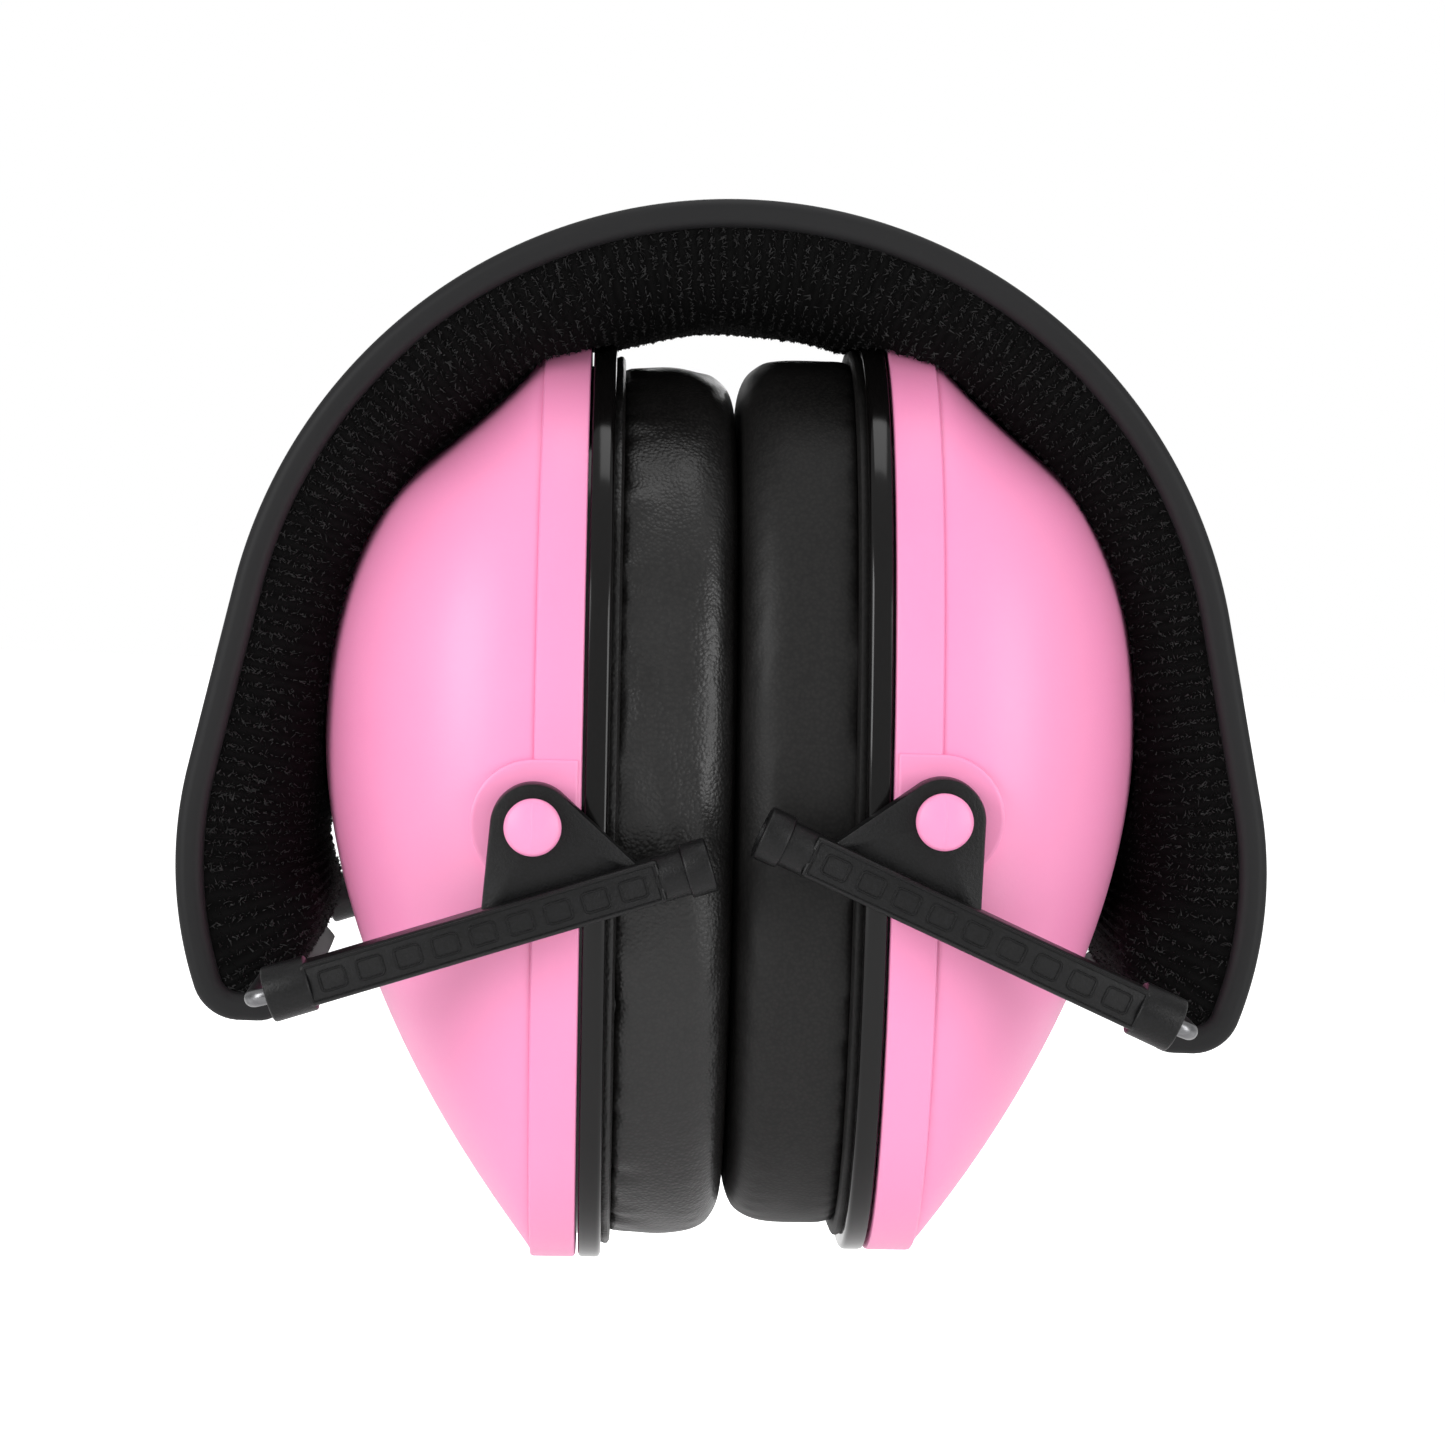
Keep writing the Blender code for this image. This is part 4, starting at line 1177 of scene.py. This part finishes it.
def turned_ring(side_name, centre_y, profile, sides=64):
    """Closed outline of (along, radius) turned about the bar's axis."""
    profile = np.asarray(profile, float)
    turn = full_turn(sides)
    along = np.repeat(profile[:, :1], sides, 1)
    y = centre_y + profile[:, 1:] * np.cos(turn)
    up = profile[:, 1:] * np.sin(turn)
    return grid_solid(in_arm(side_name, along, y, up), ring=True)


def soft_ring(start, end, radius, bore, edge):
    """Outline of a tube with rounded outer edges and a small countersink at its far end."""
    turn = np.linspace(0, math.pi / 2, 5)
    first = np.stack([start + edge * (1 - np.cos(turn)), radius - edge * (1 - np.sin(turn))], -1)
    last = np.stack([end - edge * (1 - np.sin(turn)), radius - edge * (1 - np.cos(turn))], -1)
    return np.vstack([[(start, bore)], first, last, [(end, bore + 0.25), (end - 0.3, bore)]])


# %% Yoke pieces
def bar_box(side_name, face, start, end):
    section = rounded_section(BAR_DEPTH, BAR_HEIGHT, 0.55, 40)
    ends = [(start, 0.5), (start + 0.1, 0.2), (start + 0.4, 0.0)]
    ends += [(end - 0.4, 0.0), (end - 0.1, 0.2), (end, 0.5)]
    rings = []
    for along, inset in ends:
        scale = 1 - inset / np.array([BAR_DEPTH, BAR_HEIGHT])
        y = face * (BAR_CENTRE + section[:, 0] * scale[0])
        rings.append(in_arm(side_name, np.full(len(section), along), y, section[:, 1] * scale[1]))
    return grid_solid(np.stack(rings))


def ear(side_name, face, pivot_along):
    """Slab with a round eye and two feet: the outline is a hull of the eye's circle and the
    base line, found from the two tangents."""
    eye = np.array([pivot_along, EAR_HEIGHT])
    feet = np.array([[pivot_along + foot, 0.3] for foot in EAR_FEET])
    reach = feet - eye
    length = np.linalg.norm(reach, axis=1)
    lean = np.arccos(EYE_RADIUS / length) * np.array([-1, 1])
    angles = np.arctan2(reach[:, 1], reach[:, 0]) + lean
    turn = np.linspace(angles[1], angles[0] + 2 * math.pi, 41)
    arc = eye + EYE_RADIUS * circle(turn)
    base = np.linspace(feet[0], feet[1], 14)[1:-1]
    rise = np.linspace(feet[1], arc[0], 10)[:-1]
    fall = np.linspace(arc[-1], feet[0], 10)[1:]
    outline = np.vstack([base, rise, arc, fall])
    top = EAR_FACE + EAR_THICKNESS
    levels = [(EAR_FACE, 0.3), (EAR_FACE + 0.3, 0), (top - 0.35, 0), (top - 0.08, 0.12), (top, 0.4)]
    return stacked(outline, levels, lambda a, b, y: in_arm(side_name, a, np.full_like(a, face * y), b))


# %% [markdown]
# The bar's outer face has a fine raised border and a row of plain outlined cells, a grip for
# pulling the yoke along its wire. Each outline is a ridge about 0.25 mm wide and a fifth of a
# millimetre high.

# %% Grip cells and whole yokes
CELL_PITCH = 3.6
CELL_GAP = 1.1
CELL_HEIGHT = 2.3


def ridge_loop(side_name, face, middle, size, radius, width=0.26, proud=0.2):
    """Closed ridge on the bar's face: a rounded rectangle swept by a small trapezium."""
    outer = BAR_CENTRE + BAR_DEPTH / 2
    rows = []
    for grow, rise in ((0, -0.3), (0, proud - 0.08), (-0.08, proud), (-width + 0.08, proud),
                       (-width, proud - 0.08), (-width, -0.3)):
        outline = rounded_section(size[0] + 2 * grow, size[1] + 2 * grow, max(radius + grow, 0.1), 32)
        along = middle + outline[:, 0]
        rows.append(in_arm(side_name, along, np.full(32, face * (outer + rise)), outline[:, 1]))
    return grid_solid(np.stack(rows), ring=True)


def grip_cells(side_name, face, start, end):
    length = end - start
    parts = [ridge_loop(side_name, face, (start + end) / 2, (length - 0.5, BAR_HEIGHT - 0.5), 0.3)]
    count = int((length - 2) / CELL_PITCH)
    pitch = (length - 2) / count
    for number in range(count):
        middle = start + 1 + pitch * (number + 0.5)
        parts.append(ridge_loop(side_name, face, middle, (pitch - CELL_GAP, CELL_HEIGHT), 0.55, 0.24, 0.17))
    return parts


def yoke(side_name, face_name):
    face = FACES[face_name]
    pivot_along = arm_frame(side_name)[3]
    inner_end = pivot_along + BAR_END
    box_end = inner_end - COLLAR_LENGTH
    rings = [(SLEEVE_START, SLEEVE_END + 0.6, 2.9, 1.2, 0.3),
             (box_end - 0.6, inner_end - 0.5, 2.45, 1.5, 0.1),
             (inner_end - COLLAR_RING, inner_end, 2.85, 1.6, 0.3)]
    parts = [bar_box(side_name, face, SLEEVE_END, box_end)]
    parts += [turned_ring(side_name, face * BAR_CENTRE, soft_ring(*ring)) for ring in rings]
    parts.append(ear(side_name, face, pivot_along))
    parts += grip_cells(side_name, face, SLEEVE_END, box_end)
    piece = make_piece(f"{side_name}_{face_name}_yoke_bar", parts)
    return fit(piece, f"{side_name}_yokes", NYLON, [f"{side_name}_{face_name}_yoke"])


for name in SIDES:
    for face in FACES:
        yoke(name, face)

# %% [markdown]
# ## Wire arms
# Each arm is one length of spring wire, bent twice. Its cross-bar turns in the band's end and
# its legs run into the yokes. A round section follows the bent path, so it is a tube with
# two soft corners.

# %% Wires
WIRE_RADIUS = 0.9
WIRE_BEND = 1.4


def wire_arm(side_name):
    """Half path: leg tip, straight, quarter bend, then mirrored for the other leg."""
    tip = arm_frame(side_name)[3] + BAR_END - COLLAR_RING
    bend = np.linspace(0, math.pi / 2, 12)
    leg = np.linspace(tip, WIRE_BEND + 0.3, 20)
    along = np.concatenate([leg, WIRE_BEND * (1 - np.sin(bend))])
    y = np.concatenate([np.full(20, BAR_CENTRE), BAR_CENTRE - WIRE_BEND * (1 - np.cos(bend))])
    path = np.stack([np.concatenate([along, along[::-1]]), np.concatenate([y, -y[::-1]])], -1)
    heading = np.gradient(path, axis=0)
    heading /= np.linalg.norm(heading, axis=1, keepdims=True)
    side = np.stack([heading[:, 1], -heading[:, 0]], -1)
    turn = full_turn(24)
    across = WIRE_RADIUS * np.cos(turn)
    ring_along = path[:, :1] + side[:, :1] * across
    ring_y = path[:, 1:] + side[:, 1:] * across
    ring_up = np.broadcast_to(WIRE_RADIUS * np.sin(turn), ring_along.shape)
    piece = make_piece(f"{side_name}_wire_arm", [grid_solid(in_arm(side_name, ring_along, ring_y, ring_up))])
    return fit(piece, f"{side_name}_wire", STEEL, [f"{side_name}_wire"])


for name in SIDES:
    wire_arm(name)

# %% [markdown]
# ## Parts that keep their measured shape
# Inner parts show only through the ear openings or not at all. Their solids are right already,
# so they only get real finishes.

# %% Finishes on the measured parts
KEPT = {"headband_spring": STRIP}
for name in SIDES:
    KEPT[f"{name}_end_block"] = NYLON
    KEPT[f"{name}_acoustic_foam"] = FOAM
    KEPT[f"{name}_cushion_base"] = GLOSS
for name, material in KEPT.items():
    node = frame["nodes"][name]
    node.data.materials.clear()
    node.data.materials.append(material)
print("kept", len(KEPT), "measured parts")

# %% [markdown]
# ## Studio
# A white floor well below the reach of the open arms, white surroundings, and four large soft
# lights: a key from the upper left and a fill from the right, both wide enough to reach round
# the domes, a strip from above that draws the band's rim, and one behind for the back.

# %% Floor and surroundings
AMBIENT = 0.56
FLOOR_GLOW = 0.8


def floor():
    mesh = bpy.data.meshes.new("studio_floor")
    reach, level = 3.0, -0.215
    corners = [(-reach, -reach, level), (reach, -reach, level), (reach, reach, level), (-reach, reach, level)]
    mesh.from_pydata(corners, [], [(0, 1, 2, 3)])
    plane = bpy.data.objects.new("studio_floor", mesh)
    bpy.context.scene.collection.objects.link(plane)
    material, tree, shader, place = finish_named("white_paper_floor", Roughness=0.9)
    tooth = add(tree, "TexNoise", Vector=place, Scale=per_size(40), Detail=2.0)
    colour = mix_colours(tree, tooth.outputs["Fac"], linear("#fbfbfb"), linear("#ffffff"))
    glow = between(tree, add(tree, "LightPath").outputs["Is Camera Ray"], 0.0, FLOOR_GLOW)
    feed(tree, shader, Base_Color=colour, Emission_Color=colour, Emission_Strength=glow)
    mesh.materials.append(material)


def surroundings():
    """White where the camera looks, and a dimmer white for the light that reaches the object."""
    world = bpy.data.worlds.new("white_surroundings")
    world.use_nodes = True
    tree = world.node_tree
    seen = add(tree, "LightPath").outputs["Is Camera Ray"]
    strength = between(tree, seen, AMBIENT, 1.0)
    tree.nodes["Background"].inputs["Color"].default_value = (1, 1, 1, 1)
    tree.links.new(strength, tree.nodes["Background"].inputs["Strength"])
    bpy.context.scene.world = world
    bpy.context.scene.view_settings.view_transform = "Standard"


floor()
surroundings()

# %% Lights
LOOK_AT = Vector((0, 0, -0.045))


def soft_light(name, place, width, height, power):
    """An area light that faces the middle of the object."""
    data = bpy.data.lights.new(name, "AREA")
    data.shape = "RECTANGLE"
    data.size, data.size_y, data.energy = width, height, power
    light = bpy.data.objects.new(name, data)
    light.location = place
    light.rotation_euler = (LOOK_AT - Vector(place)).to_track_quat("-Z", "Y").to_euler()
    bpy.context.scene.collection.objects.link(light)


soft_light("key_upper_left", (-0.66, -0.62, 0.22), 0.4, 0.55, 4.4)
soft_light("fill_right", (0.68, -0.6, 0.12), 0.4, 0.6, 3.2)
soft_light("top_strip", (0.05, 0.0, 0.8), 0.7, 0.35, 1.6)
soft_light("rear_soft", (0.1, 0.85, 0.3), 0.6, 0.5, 2.4)

# %% [markdown]
# ## Camera
# The view is nearly level and straight on, from just left of the middle and a touch above,
# through a short telephoto lens. A small roll matches how the folded object lies.

# %% Camera
VIEW_DISTANCE = 0.44
VIEW_UP = math.radians(4.0)
VIEW_AROUND = math.radians(-1.7)
VIEW_ROLL = math.radians(2.27)
SENSOR = 36.0
LENS = 97.1626

camera_data = bpy.data.cameras.new("camera")
camera_data.sensor_width = SENSOR
camera_data.lens = LENS
camera_data.clip_start, camera_data.clip_end = 0.01, 20
camera = bpy.data.objects.new("camera", camera_data)
level = math.cos(VIEW_UP)
away = Vector((level * math.sin(VIEW_AROUND), -level * math.cos(VIEW_AROUND), math.sin(VIEW_UP)))
camera.location = LOOK_AT + VIEW_DISTANCE * away
turned = (-away).to_track_quat("-Z", "Y").to_matrix().to_4x4()
roll = turned.Rotation(VIEW_ROLL, 4, "Z")
camera.rotation_euler = (turned @ roll).to_euler()
bpy.context.scene.collection.objects.link(camera)
bpy.context.scene.camera = camera
